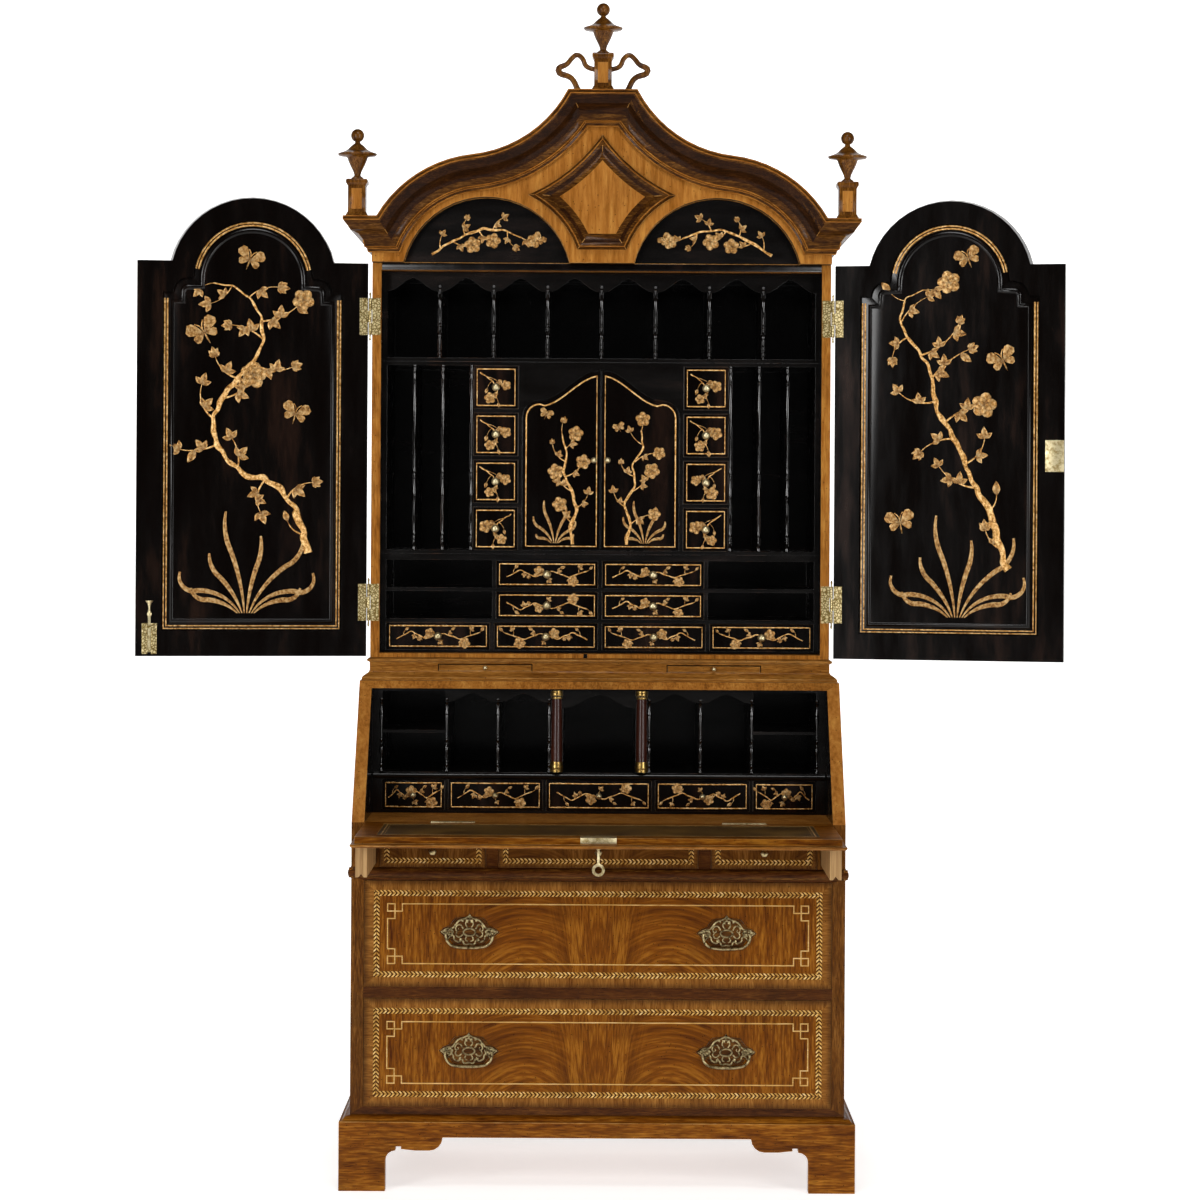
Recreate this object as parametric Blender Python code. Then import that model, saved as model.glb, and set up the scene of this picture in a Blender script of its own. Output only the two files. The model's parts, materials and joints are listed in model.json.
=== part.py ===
"""Double-dome writing bureau: a slant-front desk with drawers below and a lacquered cabinet above.

It stands with both arched doors open and the fall let down on its lopers. Metres, +Z up, front
towards -Y. The origin is on the floor, in the middle of the open object's depth.
"""

import math

import bmesh
import bpy
from mathutils import Vector

# Base with bracket feet
FOOT_HEIGHT = 0.140
FOOT_WIDTH = 0.098
FOOT_STRAIGHT = 0.064
BRACKET_WIDTH = 0.218
BRACKET_DIP = 0.0855
BRACKET_STEP = 0.094
APRON_DEPTH = 0.027
BASE_PROJECTION = 0.022
BASE_MOULDING_HEIGHT = 0.017
BASE_WALL = 0.024

# Lower case, from the bottom rail up to the writing board
CASE_WIDTH = 1.038
CASE_DEPTH = 0.560
CASE_SIDE = 0.027
CASE_BACK = 0.012
BOTTOM_RAIL = 0.0165
LOWER_DRAWER_HEIGHT = 0.228
DRAWER_RAIL = 0.0235
UPPER_DRAWER_HEIGHT = 0.224
WAIST_RAIL = 0.027
WAIST_BEAD_OUT = 0.007
FRIEZE_HEIGHT = 0.070
FRIEZE_MIDDLE_WIDTH = 0.420
FRIEZE_DIVIDER = 0.026
WRITING_BOARD = 0.024
LOPER_WIDTH = 0.0235
LOPER_HEIGHT = 0.066
LOPER_LENGTH = 0.480
LOPER_DIVIDER = 0.007
LOPER_REACH = 0.270
TOP_BOARD = 0.016

# Fall
SLOPE_RISE = 0.287
SLOPE_RUN = 0.214
FALL_BODY = 0.0136
FALL_LIP = 0.0064
FALL_LENGTH = 0.352
LIP_OVERLAP = 0.006
LEATHER_DEPTH = 0.0015
LEATHER_MARGIN = 0.042
KEY_SHAFT_RADIUS = 0.0028
KEY_SHAFT_LENGTH = 0.034
KEY_BOW_RADIUS = 0.013
KEY_FROM_EDGE = 0.012

# Cabinet base with candle slides
WAIST_HEIGHT = 0.049
WAIST_MOULDING = 0.021
WAIST_FLARE = 0.017
SLIDE_WIDTH = 0.202
SLIDE_THICK = 0.012
SLIDE_LENGTH = 0.240
SLIDE_CENTRE = 0.248

# Upper case and its fitments
UPPER_WIDTH = 0.996
UPPER_DEPTH = 0.325
UPPER_HEIGHT = 0.856
UPPER_SIDE = 0.020
UPPER_BACK = 0.012
UPPER_FLOOR = 0.009
UPPER_ROOF = 0.015
FITMENT_SETBACK = 0.040
LOWER_NEST_HEIGHT = 0.2157
NEST_CASE_HEIGHT = 0.419
NEST_BOARD = 0.008
END_BOARD = 0.011
PIGEONHOLES = 8
FOLIO_WIDTH = 0.180
FOLIO_SLOTS = 3
FOLIO_DIVIDER = 0.006
CUPBOARD_WIDTH = 0.344
CUPBOARD_DOOR_THICK = 0.014
CUPBOARD_SIDE_HEIGHT = 0.290
CUPBOARD_COVE = 0.038
CUPBOARD_RISE = 0.067
CUPBOARD_KNOB_X = 0.0150
CUPBOARD_KNOB_RADIUS = 0.0065
DRAWER_COLUMN_ROWS = 4
SMALL_ROW_HEIGHT = 0.060
INNER_DRAWER_WIDTH = 0.2235
BOTTOM_DRAWERS = 4
VALANCE_DROP = 0.024
VALANCE_THICK = 0.005

# Main doors
DOOR_THICK = 0.024
DOOR_CASE_GAP = 0.0032
DOOR_END_GAP = 0.002
DOOR_ARCH_BEVEL = 0.0045
ARCH_RADIUS = 0.1848
ARCH_CENTRE_DROP = 0.043
PANEL_MARGIN = 0.055
PANEL_FIELD = 0.028
PANEL_TONGUE = 0.005
PANEL_TONGUE_THICK = 0.008
PANEL_COVE = 0.032
PANEL_STEP = 0.009
PANEL_SHOULDER_DROP = 0.067
LEFT_DOOR_OPEN = 172.0
RIGHT_DOOR_OPEN = 167.0
HINGE_OUT = 0.0042
HINGE_RADIUS = 0.0037
HINGE_PIN_RADIUS = 0.0016
HINGE_LEAF_HEIGHT = 0.080
HINGE_LEAF_WIDTH = 0.0185
HINGE_LEAF_THICK = 0.001
HINGE_HEIGHTS = (0.119, 0.739)
BOLT_WIDTH = 0.006
BOLT_LENGTH = 0.090
BOLT_FROM_EDGE = 0.030

# Hood with spandrel, ogee cornice and finials
SPANDREL_THICK = 0.024
LUNETTE_PROUD = 0.002
LUNETTE_BOARD = 0.012
LUNETTE_LAP = 0.008
CORNICE_LIFT = 0.021
CORNICE_HEIGHT = 0.073
CORNICE_OUT = 0.058
CORNICE_MARGIN = 0.0135
OGEE_CENTRE_X = 0.309
OGEE_CENTRE_RISE = 0.490
CREST_RISE = 0.295
HOOD_WALL = 0.018
HOOD_ROOF_RISE = 0.088
LOZENGE_ARCH_OFFSET = 0.025
LOZENGE_OGEE_OFFSET = 0.037
LOZENGE_BOTTOM_RISE = 0.029
LOZENGE_PROUD = 0.014
PEDESTAL_WIDTH = 0.038
PEDESTAL_HEIGHT = 0.080
FINIAL_HEIGHT = 0.109
FINIAL_DISC_RADIUS = 0.0415
SCROLL_RADIUS = 0.005
SCROLL_REACH = 0.096
SCROLL_RISE = 0.072

# Desk fitment behind the fall
DESK_SETBACK = 0.225
DESK_DRAWER_HEIGHT = 0.067
DESK_RAIL = 0.016
DESK_BOARD = 0.006
PROSPECT_WIDTH = 0.157
COLUMN_BAY = 0.027
COLUMN_RADIUS = 0.0115
DESK_PAIR_WIDTH = 0.222
DESK_END_BOARD = 0.0215
DESK_CENTRE_DRAWER = 0.230

# Drawers and their fittings
DRAWER_FRONT = 0.018
DRAWER_WALL = 0.010
DRAWER_BACK_GAP = 0.020
SMALL_FRONT = 0.012
SMALL_WALL = 0.006
KNOB_RADIUS = 0.0085
KNOB_LENGTH = 0.021
HANDLE_X = 0.270
HANDLE_RISE = 0.004
PLATE_WIDTH = 0.126
PLATE_HEIGHT = 0.075
PLATE_THICK = 0.002
POST_SPACING = 0.080
POST_RADIUS = 0.0045
POST_LENGTH = 0.013
BAIL_RADIUS = 0.0026
BAIL_DROP = 0.031
BAIL_OVERHANG = 0.009

# Clearances
SEAT = 0.0003
RUNNING = 0.0010

# Heights and planes that follow from the sizes above
BASE_TOP = FOOT_HEIGHT + BASE_MOULDING_HEIGHT
CASE_BOTTOM = BASE_TOP + SEAT
LOWER_DRAWER_Z = CASE_BOTTOM + BOTTOM_RAIL
UPPER_DRAWER_Z = LOWER_DRAWER_Z + LOWER_DRAWER_HEIGHT + DRAWER_RAIL
WAIST_Z = UPPER_DRAWER_Z + UPPER_DRAWER_HEIGHT
FRIEZE_Z = WAIST_Z + WAIST_RAIL
WRITING_Z = FRIEZE_Z + FRIEZE_HEIGHT + WRITING_BOARD
CASE_TOP = WRITING_Z + SLOPE_RISE
SLOPE = math.atan2(SLOPE_RISE, SLOPE_RUN)
HINGE_SETBACK = (FALL_BODY - 2 * SEAT) / math.sin(SLOPE)
FRONT = (FALL_LENGTH - HINGE_SETBACK - CASE_DEPTH) / 2
BACK = FRONT + CASE_DEPTH
CASE_HALF = CASE_WIDTH / 2
CASE_INNER = CASE_HALF - CASE_SIDE
HINGE_Y = FRONT + HINGE_SETBACK
FALL_BOTTOM = WRITING_Z - FALL_BODY - FALL_LIP
CABINET_Z = CASE_TOP + SEAT
UPPER_Z = CABINET_Z + WAIST_HEIGHT + SEAT
UPPER_TOP = UPPER_Z + UPPER_HEIGHT
UPPER_HALF = UPPER_WIDTH / 2
UPPER_INNER = UPPER_HALF - UPPER_SIDE
UPPER_FRONT = BACK - UPPER_DEPTH
FITMENT_FRONT = UPPER_FRONT + FITMENT_SETBACK
FITMENT_BACK = BACK - UPPER_BACK - SEAT
FITMENT_HALF = UPPER_INNER - SEAT
HOOD_Z = UPPER_TOP + SEAT
ARCH_X = (UPPER_HALF + DOOR_END_GAP / 2) / 2
ARCH_Z = HOOD_Z - ARCH_CENTRE_DROP
SPANDREL_FRONT = UPPER_FRONT - SPANDREL_THICK - DOOR_CASE_GAP
DOOR_BOTTOM = UPPER_Z + DOOR_END_GAP
DOOR_SHOULDER = HOOD_Z - DOOR_END_GAP
OGEE_X = OGEE_CENTRE_X
OGEE_Z = HOOD_Z + OGEE_CENTRE_RISE
CORNICE_Z = HOOD_Z + CORNICE_LIFT
CREST_Z = HOOD_Z + CREST_RISE
CREST_TOP = CREST_Z + CORNICE_HEIGHT
CORNICE_TOP = CORNICE_Z + CORNICE_HEIGHT
INNER_ARC = ARCH_RADIUS + CORNICE_MARGIN
OGEE_RADIUS = math.hypot(OGEE_X - ARCH_X, OGEE_Z - ARCH_Z) - INNER_ARC
DESK_FRONT = FRONT + DESK_SETBACK
DESK_BACK = BACK - CASE_BACK - SEAT
DESK_HALF = CASE_INNER - SEAT
DESK_TOP = CASE_TOP - TOP_BOARD - SEAT

WALNUT = ("walnut", (0.32, 0.15, 0.05), 0.35, 0.0)
LACQUER = ("black_lacquer", (0.008, 0.006, 0.005), 0.22, 0.0)
PALE_WOOD = ("pale_wood", (0.60, 0.42, 0.24), 0.55, 0.0)
BRASS = ("brass", (0.63, 0.48, 0.24), 0.30, 1.0)
LEATHER = ("olive_leather", (0.10, 0.10, 0.02), 0.45, 0.0)


def clear_scene():
    for old in list(bpy.data.objects):
        bpy.data.objects.remove(old, do_unlink=True)


def finish_material(name, finish):
    slot, colour, roughness, metallic = finish
    material = bpy.data.materials.new(f"{slot}_{name}")
    material.use_nodes = True
    shader = material.node_tree.nodes["Principled BSDF"]
    shader.inputs["Base Color"].default_value = (*colour, 1.0)
    shader.inputs["Roughness"].default_value = roughness
    shader.inputs["Metallic"].default_value = metallic
    return material


# Basic solids: each returns a closed bmesh


def loft(loops):
    """A closed solid through loops of equal count, with flat ends."""
    solid = bmesh.new()
    rings = [[solid.verts.new(point) for point in loop] for loop in loops]
    for lower, upper in zip(rings, rings[1:]):
        for i in range(len(lower)):
            j = (i + 1) % len(lower)
            solid.faces.new((lower[i], lower[j], upper[j], upper[i]))
    solid.faces.new(list(reversed(rings[0])))
    solid.faces.new(rings[-1])
    bmesh.ops.recalc_face_normals(solid, faces=solid.faces)
    return solid


def box(x0, x1, y0, y1, z0, z1):
    corners = ((x0, y0), (x1, y0), (x1, y1), (x0, y1))
    return loft([[(x, y, z) for x, y in corners] for z in (z0, z1)])


def prism_y(outline, y0, y1):
    """An (x, z) outline carried from y0 to y1."""
    return loft([[(x, y, z) for x, z in outline] for y in (y0, y1)])


def prism_x(outline, x0, x1):
    """A (y, z) outline carried from x0 to x1."""
    return loft([[(x, y, z) for y, z in outline] for x in (x0, x1)])


def prism_z(outline, z0, z1):
    return loft([[(x, y, z) for x, y in outline] for z in (z0, z1)])


def arc(centre_u, centre_v, radius, start, end, count):
    """Points on a circle from start to end, in radians, both ends included."""
    points = []
    for i in range(count + 1):
        angle = start + (end - start) * i / count
        points.append((centre_u + radius * math.cos(angle), centre_v + radius * math.sin(angle)))
    return points


def turned(profile, sides, centre, axis="Z"):
    """A solid of revolution; the profile is (radius, distance along the axis), with no radius zero."""
    loops = []
    for radius, along in profile:
        loop = []
        for u, v in arc(0, 0, radius, 0, 2 * math.pi * (1 - 1 / sides), sides - 1):
            local = (u, v, along) if axis == "Z" else (u, -along, v)
            if axis == "X":
                local = (along, u, v)
            loop.append(tuple(a + b for a, b in zip(centre, local)))
        loops.append(loop)
    return loft(loops)


def tube(path, radius, sides, across=None):
    """A round bar along a path of points; across widens it along one world direction."""
    points = [Vector(point) for point in path]
    loops = []
    side = None
    for i, point in enumerate(points):
        ahead = points[min(i + 1, len(points) - 1)] - points[max(i - 1, 0)]
        ahead.normalize()
        if side is None:
            side = ahead.orthogonal().normalized()
        if across is not None:
            side = Vector(across)
        side = (side - ahead * side.dot(ahead)).normalized()
        other = ahead.cross(side)
        ring = arc(0, 0, radius, 0, 2 * math.pi * (1 - 1 / sides), sides - 1)
        loops.append([point + side * u + other * v for u, v in ring])
    return loft(loops)


def smooth_path(points, steps):
    """Catmull-Rom points through the given ones."""
    knots = [Vector(point) for point in points]
    path = []
    for i in range(len(knots) - 1):
        before = knots[max(i - 1, 0)]
        after = knots[min(i + 2, len(knots) - 1)]
        for step in range(steps):
            t = step / steps
            a = 2 * knots[i]
            b = (knots[i + 1] - before) * t
            c = (2 * before - 5 * knots[i] + 4 * knots[i + 1] - after) * t * t
            d = (3 * knots[i] - 3 * knots[i + 1] + after - before) * t**3
            path.append((a + b + c + d) / 2)
    path.append(knots[-1])
    return path


def knob(x, y, z, radius=KNOB_RADIUS, length=KNOB_LENGTH, sides=6):
    """A turned knob on a front whose face is at y; its foot is sunk into the front for the join."""
    profile = (
        (radius * 0.55, -0.003),
        (radius * 0.45, length * 0.3),
        (radius, length * 0.62),
        (radius * 0.85, length * 0.85),
        (radius * 0.25, length),
    )
    return turned(profile, sides, (x, y, z), axis="Y")


# Turning solids into objects


def helper_object(solid):
    mesh = bpy.data.meshes.new("shape")
    solid.to_mesh(mesh)
    solid.free()
    shape = bpy.data.objects.new("shape", mesh)
    bpy.context.scene.collection.objects.link(shape)
    return shape


def combine(target, operation, solids):
    """Joins the solids to the target, or cuts them from it, in one exact step."""
    shapes = [helper_object(solid) for solid in solids]
    group = bpy.data.collections.new("shapes")
    bpy.context.scene.collection.children.link(group)
    for shape in shapes:
        group.objects.link(shape)
    modifier = target.modifiers.new("Combine", "BOOLEAN")
    modifier.operation = operation
    modifier.solver = "EXACT"
    modifier.operand_type = "COLLECTION"
    modifier.collection = group
    graph = bpy.context.evaluated_depsgraph_get()
    mesh = bpy.data.meshes.new_from_object(target.evaluated_get(graph))
    target.modifiers.remove(modifier)
    target.data = mesh
    bpy.data.collections.remove(group)
    for shape in shapes:
        bpy.data.objects.remove(shape, do_unlink=True)


def sub_part(name, finish, solid, joined=(), cut=(), bored=(), origin=(0.0, 0.0, 0.0), turn=0.0):
    """A named piece: a solid, what is cut from it, what is joined to that, holes bored last, and its place.

    The solids are given in the frame whose zero is origin; turn is about +Z through it.
    """
    part = helper_object(solid)
    part.name = name
    part.data.name = name
    if cut:
        combine(part, "DIFFERENCE", cut)
    if joined:
        combine(part, "UNION", joined)
    if bored:
        combine(part, "DIFFERENCE", bored)
    part.data.materials.clear()
    part.data.materials.append(finish_material(name, finish))
    part.data.shade_smooth()
    part.data.set_sharp_from_angle(angle=math.radians(35))
    part.location = origin
    part.rotation_euler = (0.0, 0.0, turn)
    return part


# Base


def bracket_outline(half, floor):
    """The open space between two feet, as (across, z): scrolled brackets under a straight apron."""
    apron = FOOT_HEIGHT - APRON_DEPTH
    cove = BRACKET_DIP - FOOT_STRAIGHT
    bulge = apron - BRACKET_DIP
    foot = half - FOOT_WIDTH
    right = [(foot, floor), (foot, FOOT_STRAIGHT)]
    right += arc(foot - cove, FOOT_STRAIGHT, cove, 0, math.pi / 2, 4)[1:]
    right += [(foot - cove, BRACKET_STEP), (foot - cove - 0.012, BRACKET_STEP)]
    end = half - BRACKET_WIDTH
    middle = end + bulge + 0.030
    right += [(middle + 0.030, BRACKET_DIP + 0.003), (middle, BRACKET_DIP)]
    right += arc(end + bulge, apron, bulge, -math.pi / 2, -math.pi, 4)
    return right + [(-u, v) for u, v in reversed(right)]


def make_base():
    half = CASE_HALF + BASE_PROJECTION
    front = FRONT - BASE_PROJECTION
    below = -0.01
    deep = BACK - front
    middle = (front + BACK) / 2
    moulding = [
        (half, FOOT_HEIGHT - 0.004),
        (half, FOOT_HEIGHT + BASE_MOULDING_HEIGHT * 0.3),
        (half - BASE_PROJECTION * 0.3, FOOT_HEIGHT + BASE_MOULDING_HEIGHT * 0.45),
        (half - BASE_PROJECTION * 0.5, FOOT_HEIGHT + BASE_MOULDING_HEIGHT * 0.8),
        (half - BASE_PROJECTION + RUNNING, BASE_TOP),
    ]
    loops = []
    for reach, z in moulding:
        step = half - reach
        corners = ((-reach, front + step), (reach, front + step), (reach, BACK), (-reach, BACK))
        loops.append([(x, y, z) for x, y in corners])
    inside = box(
        -half + BASE_WALL, half - BASE_WALL, front + BASE_WALL, BACK - BASE_WALL, below, FOOT_HEIGHT - 0.012
    )
    side = [(middle + u, v) for u, v in bracket_outline(deep / 2, below)]
    base = box(-half, half, front, BACK, 0, FOOT_HEIGHT - 0.002)
    cuts = [
        inside,
        prism_y(bracket_outline(half, below), front - 0.05, BACK + 0.05),
        prism_x(side, -half - 0.05, half + 0.05),
    ]
    sub_part("base_with_feet", WALNUT, base, joined=[loft(loops)], cut=cuts)


# Lower case


def frieze_bays():
    """The (low x, high x) of the right-hand side drawer and loper bays, and the middle bay's half."""
    middle = FRIEZE_MIDDLE_WIDTH / 2
    loper = (CASE_INNER - LOPER_WIDTH - 2 * RUNNING, CASE_INNER)
    side = (middle + FRIEZE_DIVIDER, loper[0] - LOPER_DIVIDER)
    return middle, side, loper


def make_lower_case():
    ahead = FRONT - 0.05
    rear = BACK - CASE_BACK
    ledge = (FRONT, WRITING_Z)
    profile = [
        (FRONT, CASE_BOTTOM),
        (BACK, CASE_BOTTOM),
        (BACK, CASE_TOP),
        (FRONT + SLOPE_RUN, CASE_TOP),
        ledge,
    ]
    middle, side, loper = frieze_bays()
    frieze_top = FRIEZE_Z + FRIEZE_HEIGHT
    loper_z = (FALL_BOTTOM - LOPER_HEIGHT - RUNNING, FALL_BOTTOM + SEAT)
    cuts = [
        box(-CASE_INNER, CASE_INNER, ahead, rear, LOWER_DRAWER_Z, LOWER_DRAWER_Z + LOWER_DRAWER_HEIGHT),
        box(-CASE_INNER, CASE_INNER, ahead, rear, UPPER_DRAWER_Z, UPPER_DRAWER_Z + UPPER_DRAWER_HEIGHT),
        box(-middle, middle, ahead, rear, FRIEZE_Z, frieze_top),
        box(-CASE_INNER, CASE_INNER, ahead, rear, WRITING_Z, CASE_TOP - TOP_BOARD),
        box(-CASE_INNER, CASE_INNER, ahead, HINGE_Y + SEAT, FALL_BOTTOM - SEAT, WRITING_Z + 0.01),
    ]
    for hand in (-1, 1):
        for (low, high), z0, z1 in ((side, FRIEZE_Z, frieze_top), (loper, *loper_z)):
            low, high = sorted((hand * low, hand * high))
            cuts.append(box(low, high, ahead, rear, z0, z1))
    bead = [(u, WAIST_Z + WAIST_RAIL * 0.58 + v) for u, v in half_round(WAIST_BEAD_OUT, WAIST_RAIL * 0.4)]
    around = [
        (FRONT, BACK, CASE_HALF, 1),
        (FRONT, BACK, CASE_HALF, -1),
    ]
    joined = []
    for y0, y1, reach, hand in around:
        outline = [(hand * (reach + u), z) for u, z in bead]
        joined.append(prism_y(outline, y0 - WAIST_BEAD_OUT * 0.7, y1 - 0.001))
    front_bead = [(FRONT - u, z) for u, z in bead]
    joined.append(prism_x(front_bead, -CASE_HALF - WAIST_BEAD_OUT * 0.7, CASE_HALF + WAIST_BEAD_OUT * 0.7))
    sub_part("lower_case", WALNUT, prism_x(profile, -CASE_HALF, CASE_HALF), joined=joined, cut=cuts)


def half_round(out, half_height):
    """A bead's section as (out, up), with its foot sunk 4 mm into the wall for the join."""
    rim = [(out * math.cos(a), half_height * math.sin(a)) for a in angles(-math.pi / 2, math.pi / 2, 6)]
    return [(-0.004, -half_height), *rim, (-0.004, half_height)]


def angles(start, end, count):
    return [start + (end - start) * i / count for i in range(count + 1)]


# Drawers


def drawer_box(x0, x1, y0, y1, z0, z1, front, wall):
    """The front board and box of a drawer, and the hollow to cut from it."""
    body = box(x0, x1, y0, y1, z0, z1)
    hollow = box(x0 + wall, x1 - wall, y0 + front, y1 - wall, z0 + wall * 0.7, z1 + 0.01)
    return body, hollow


def bay_drawer(name, finish, bay, front_y, depth, knobs, front, wall, knob_radius=KNOB_RADIUS, bow=0.0):
    """A drawer that runs in a bay (x0, x1, z0, z1); knobs are x places on its front.

    bow swells the front forwards in plan, as on a serpentine front.
    """
    x0, x1, z0, z1 = bay
    low_x, high_x = x0 + RUNNING, x1 - RUNNING
    low_z, high_z = z0 + SEAT, z1 - RUNNING
    body, hollow = drawer_box(low_x, high_x, front_y, front_y + depth, low_z, high_z, front, wall)
    joined = [knob(x, front_y - bow, (low_z + high_z) / 2, radius=knob_radius) for x in knobs]
    if bow:
        rim = []
        for i in range(9):
            t = i / 8
            rim.append((low_x + (high_x - low_x) * t, front_y - bow * math.sin(math.pi * t) ** 2 - SEAT))
        plan = rim + [(high_x, front_y + front * 0.5), (low_x, front_y + front * 0.5)]
        joined.append(prism_z(plan, low_z, high_z))
    return sub_part(name, finish, body, joined=joined, cut=[hollow])


def plate_outline(centre_x, centre_z):
    """A shaped backplate: a pointed lobed oval with small ears at the posts."""
    points = []
    for angle in angles(0, 2 * math.pi * 23 / 24, 23):
        lobes = 1 + 0.10 * math.cos(6 * angle) + 0.06 * math.cos(4 * angle)
        u = PLATE_WIDTH / 2.32 * lobes * math.cos(angle)
        v = PLATE_HEIGHT / 2.32 * lobes * math.sin(angle)
        points.append((centre_x + u, centre_z + v))
    return points


def make_long_drawer(name, z0, height):
    bay = (-CASE_INNER, CASE_INNER, z0, z0 + height)
    low_z, high_z = z0 + SEAT, z0 + height - RUNNING
    depth = CASE_DEPTH - CASE_BACK - DRAWER_BACK_GAP
    body, hollow = drawer_box(
        bay[0] + RUNNING, bay[1] - RUNNING, FRONT, FRONT + depth, low_z, high_z, DRAWER_FRONT, DRAWER_WALL
    )
    centre_z = (low_z + high_z) / 2 + HANDLE_RISE
    joined = []
    for hand in (-1, 1):
        joined.append(prism_y(plate_outline(hand * HANDLE_X, centre_z), FRONT - PLATE_THICK, FRONT + 0.004))
        for end in (-1, 1):
            x = hand * HANDLE_X + end * POST_SPACING / 2
            post = (
                (POST_RADIUS * 0.7, -0.001),
                (POST_RADIUS * 0.7, POST_LENGTH * 0.45),
                (POST_RADIUS, POST_LENGTH * 0.55),
                (POST_RADIUS, POST_LENGTH * 0.95),
                (POST_RADIUS * 0.5, POST_LENGTH + PLATE_THICK),
            )
            joined.append(turned(post, 6, (x, FRONT, centre_z), axis="Y"))
    sub_part(name, WALNUT, body, joined=joined, cut=[hollow])
    for hand, side in ((-1, "left"), (1, "right")):
        make_bail(f"{name.replace('drawer', 'bail')}_{side}", hand * HANDLE_X, centre_z)


def make_bail(name, x, z):
    """A swan-neck bail that hangs between its posts; its pins lie on the pivot's axis."""
    pivot = (x, FRONT - POST_LENGTH * 0.75, z)
    pin = POST_SPACING / 2 + POST_RADIUS + SEAT
    half = POST_SPACING / 2 + BAIL_OVERHANG
    right = [
        (pin, 0.0),
        (pin + BAIL_RADIUS * 0.7, 0.0),
        (half, -BAIL_DROP * 0.30),
        (half * 0.80, -BAIL_DROP * 0.82),
        (half * 0.42, -BAIL_DROP * 0.98),
        (half * 0.14, -BAIL_DROP),
    ]
    outline = [(-u, v) for u, v in right] + list(reversed(right))
    path = [(u, 0.0, v) for u, v in outline]
    bail = tube(path, BAIL_RADIUS, 6, across=(0, 1, 0))
    sub_part(name, BRASS, bail, origin=pivot)


def make_frieze_drawers():
    middle, side, _ = frieze_bays()
    depth = CASE_DEPTH - CASE_BACK - DRAWER_BACK_GAP
    top = FRIEZE_Z + FRIEZE_HEIGHT
    bays = (
        ("frieze_drawer_left", -side[1], -side[0]),
        ("frieze_drawer_middle", -middle, middle),
        ("frieze_drawer_right", side[0], side[1]),
    )
    for name, x0, x1 in bays:
        bay = (x0, x1, FRIEZE_Z, top)
        bay_drawer(name, WALNUT, bay, FRONT, depth, [(x0 + x1) / 2], DRAWER_FRONT, DRAWER_WALL)


# Lopers and fall


def make_lopers():
    _, _, loper = frieze_bays()
    top = FALL_BOTTOM - SEAT
    bottom = FALL_BOTTOM - LOPER_HEIGHT
    notch = LOPER_WIDTH * 0.3
    for hand, name in ((-1, "loper_left"), (1, "loper_right")):
        low, high = sorted((hand * (loper[0] + RUNNING), hand * (loper[1] - RUNNING)))
        middle = (low + high) / 2
        front = FRONT - LOPER_REACH
        body = box(low, high, front, front + LOPER_LENGTH, bottom, top)
        vee = [(middle - notch, bottom - 0.002), (middle + notch, bottom - 0.002), (middle, bottom + notch)]
        sub_part(name, PALE_WOOD, body, cut=[prism_y(vee, front - 0.01, front + LOPER_LENGTH + 0.01)])


def make_fall():
    """The writing flap, let down, with its lip below; zero is on the hinge line."""
    half = CASE_INNER - 1.5 * RUNNING
    lip_half = CASE_INNER + LIP_OVERLAP
    lip_start = HINGE_Y - FRONT + 3 * RUNNING
    lip_clear = (SLOPE_RISE - TOP_BOARD) / math.sin(SLOPE) - FALL_BODY / math.tan(SLOPE) - 3 * RUNNING
    thick = FALL_BODY + FALL_LIP
    body = box(-half, half, -lip_clear, -SEAT, -thick, 0)
    bevel = FALL_LIP * 0.5
    lip = loft(
        [
            [
                (-lip_half, -FALL_LENGTH, z0),
                (lip_half, -FALL_LENGTH, z0),
                (lip_half, -lip_start, z0),
                (-lip_half, -lip_start, z0),
            ]
            for z0 in (-FALL_BODY, -thick + bevel)
        ]
        + [
            [
                (-lip_half + bevel, -FALL_LENGTH + bevel, -thick),
                (lip_half - bevel, -FALL_LENGTH + bevel, -thick),
                (lip_half - bevel, -lip_start - SEAT, -thick),
                (-lip_half + bevel, -lip_start - SEAT, -thick),
            ]
        ]
    )
    key_y = -lip_clear + KEY_FROM_EDGE
    bore = KEY_SHAFT_RADIUS + SEAT
    keyhole = turned(((bore, -thick - 0.01), (bore, -thick + 0.0095)), 10, (0, key_y, 0))
    edge = LEATHER_MARGIN
    recess = box(-half + edge, half - edge, -lip_clear + edge, -edge, -LEATHER_DEPTH, 0.01)
    hinge_line = (0.0, HINGE_Y, WRITING_Z)
    sub_part("fall_front", WALNUT, body, joined=[lip], cut=[recess], bored=[keyhole], origin=hinge_line)
    leather = box(
        -half + edge + SEAT,
        half - edge - SEAT,
        -lip_clear + edge + SEAT,
        -edge - SEAT,
        -LEATHER_DEPTH + SEAT,
        -SEAT,
    )
    sub_part("writing_leather", LEATHER, leather, origin=hinge_line)
    make_key((0.0, HINGE_Y + key_y, FALL_BOTTOM))


def make_key(place):
    """The key in the fall's lock, bow down, on the axis that it turns about."""
    shaft = turned(
        ((KEY_SHAFT_RADIUS, -KEY_SHAFT_LENGTH), (KEY_SHAFT_RADIUS, 0.009)), 10, (0, 0, 0)
    )
    bow_z = -KEY_SHAFT_LENGTH - KEY_BOW_RADIUS * 0.9
    collar = turned(((0.0045, -0.0042), (0.0045, -0.0012)), 10, (0, 0, 0))
    outer = arc(0, bow_z, KEY_BOW_RADIUS, 0, 2 * math.pi * 15 / 16, 15)
    inner = arc(0, bow_z, KEY_BOW_RADIUS * 0.58, 0, 2 * math.pi * 11 / 12, 11)
    bow = prism_y(outer, -0.0018, 0.0018)
    hole = prism_y(inner, -0.01, 0.01)
    sub_part("fall_key", BRASS, bow, joined=[shaft, collar], cut=[hole], origin=place)


# Desk fitment


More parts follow.
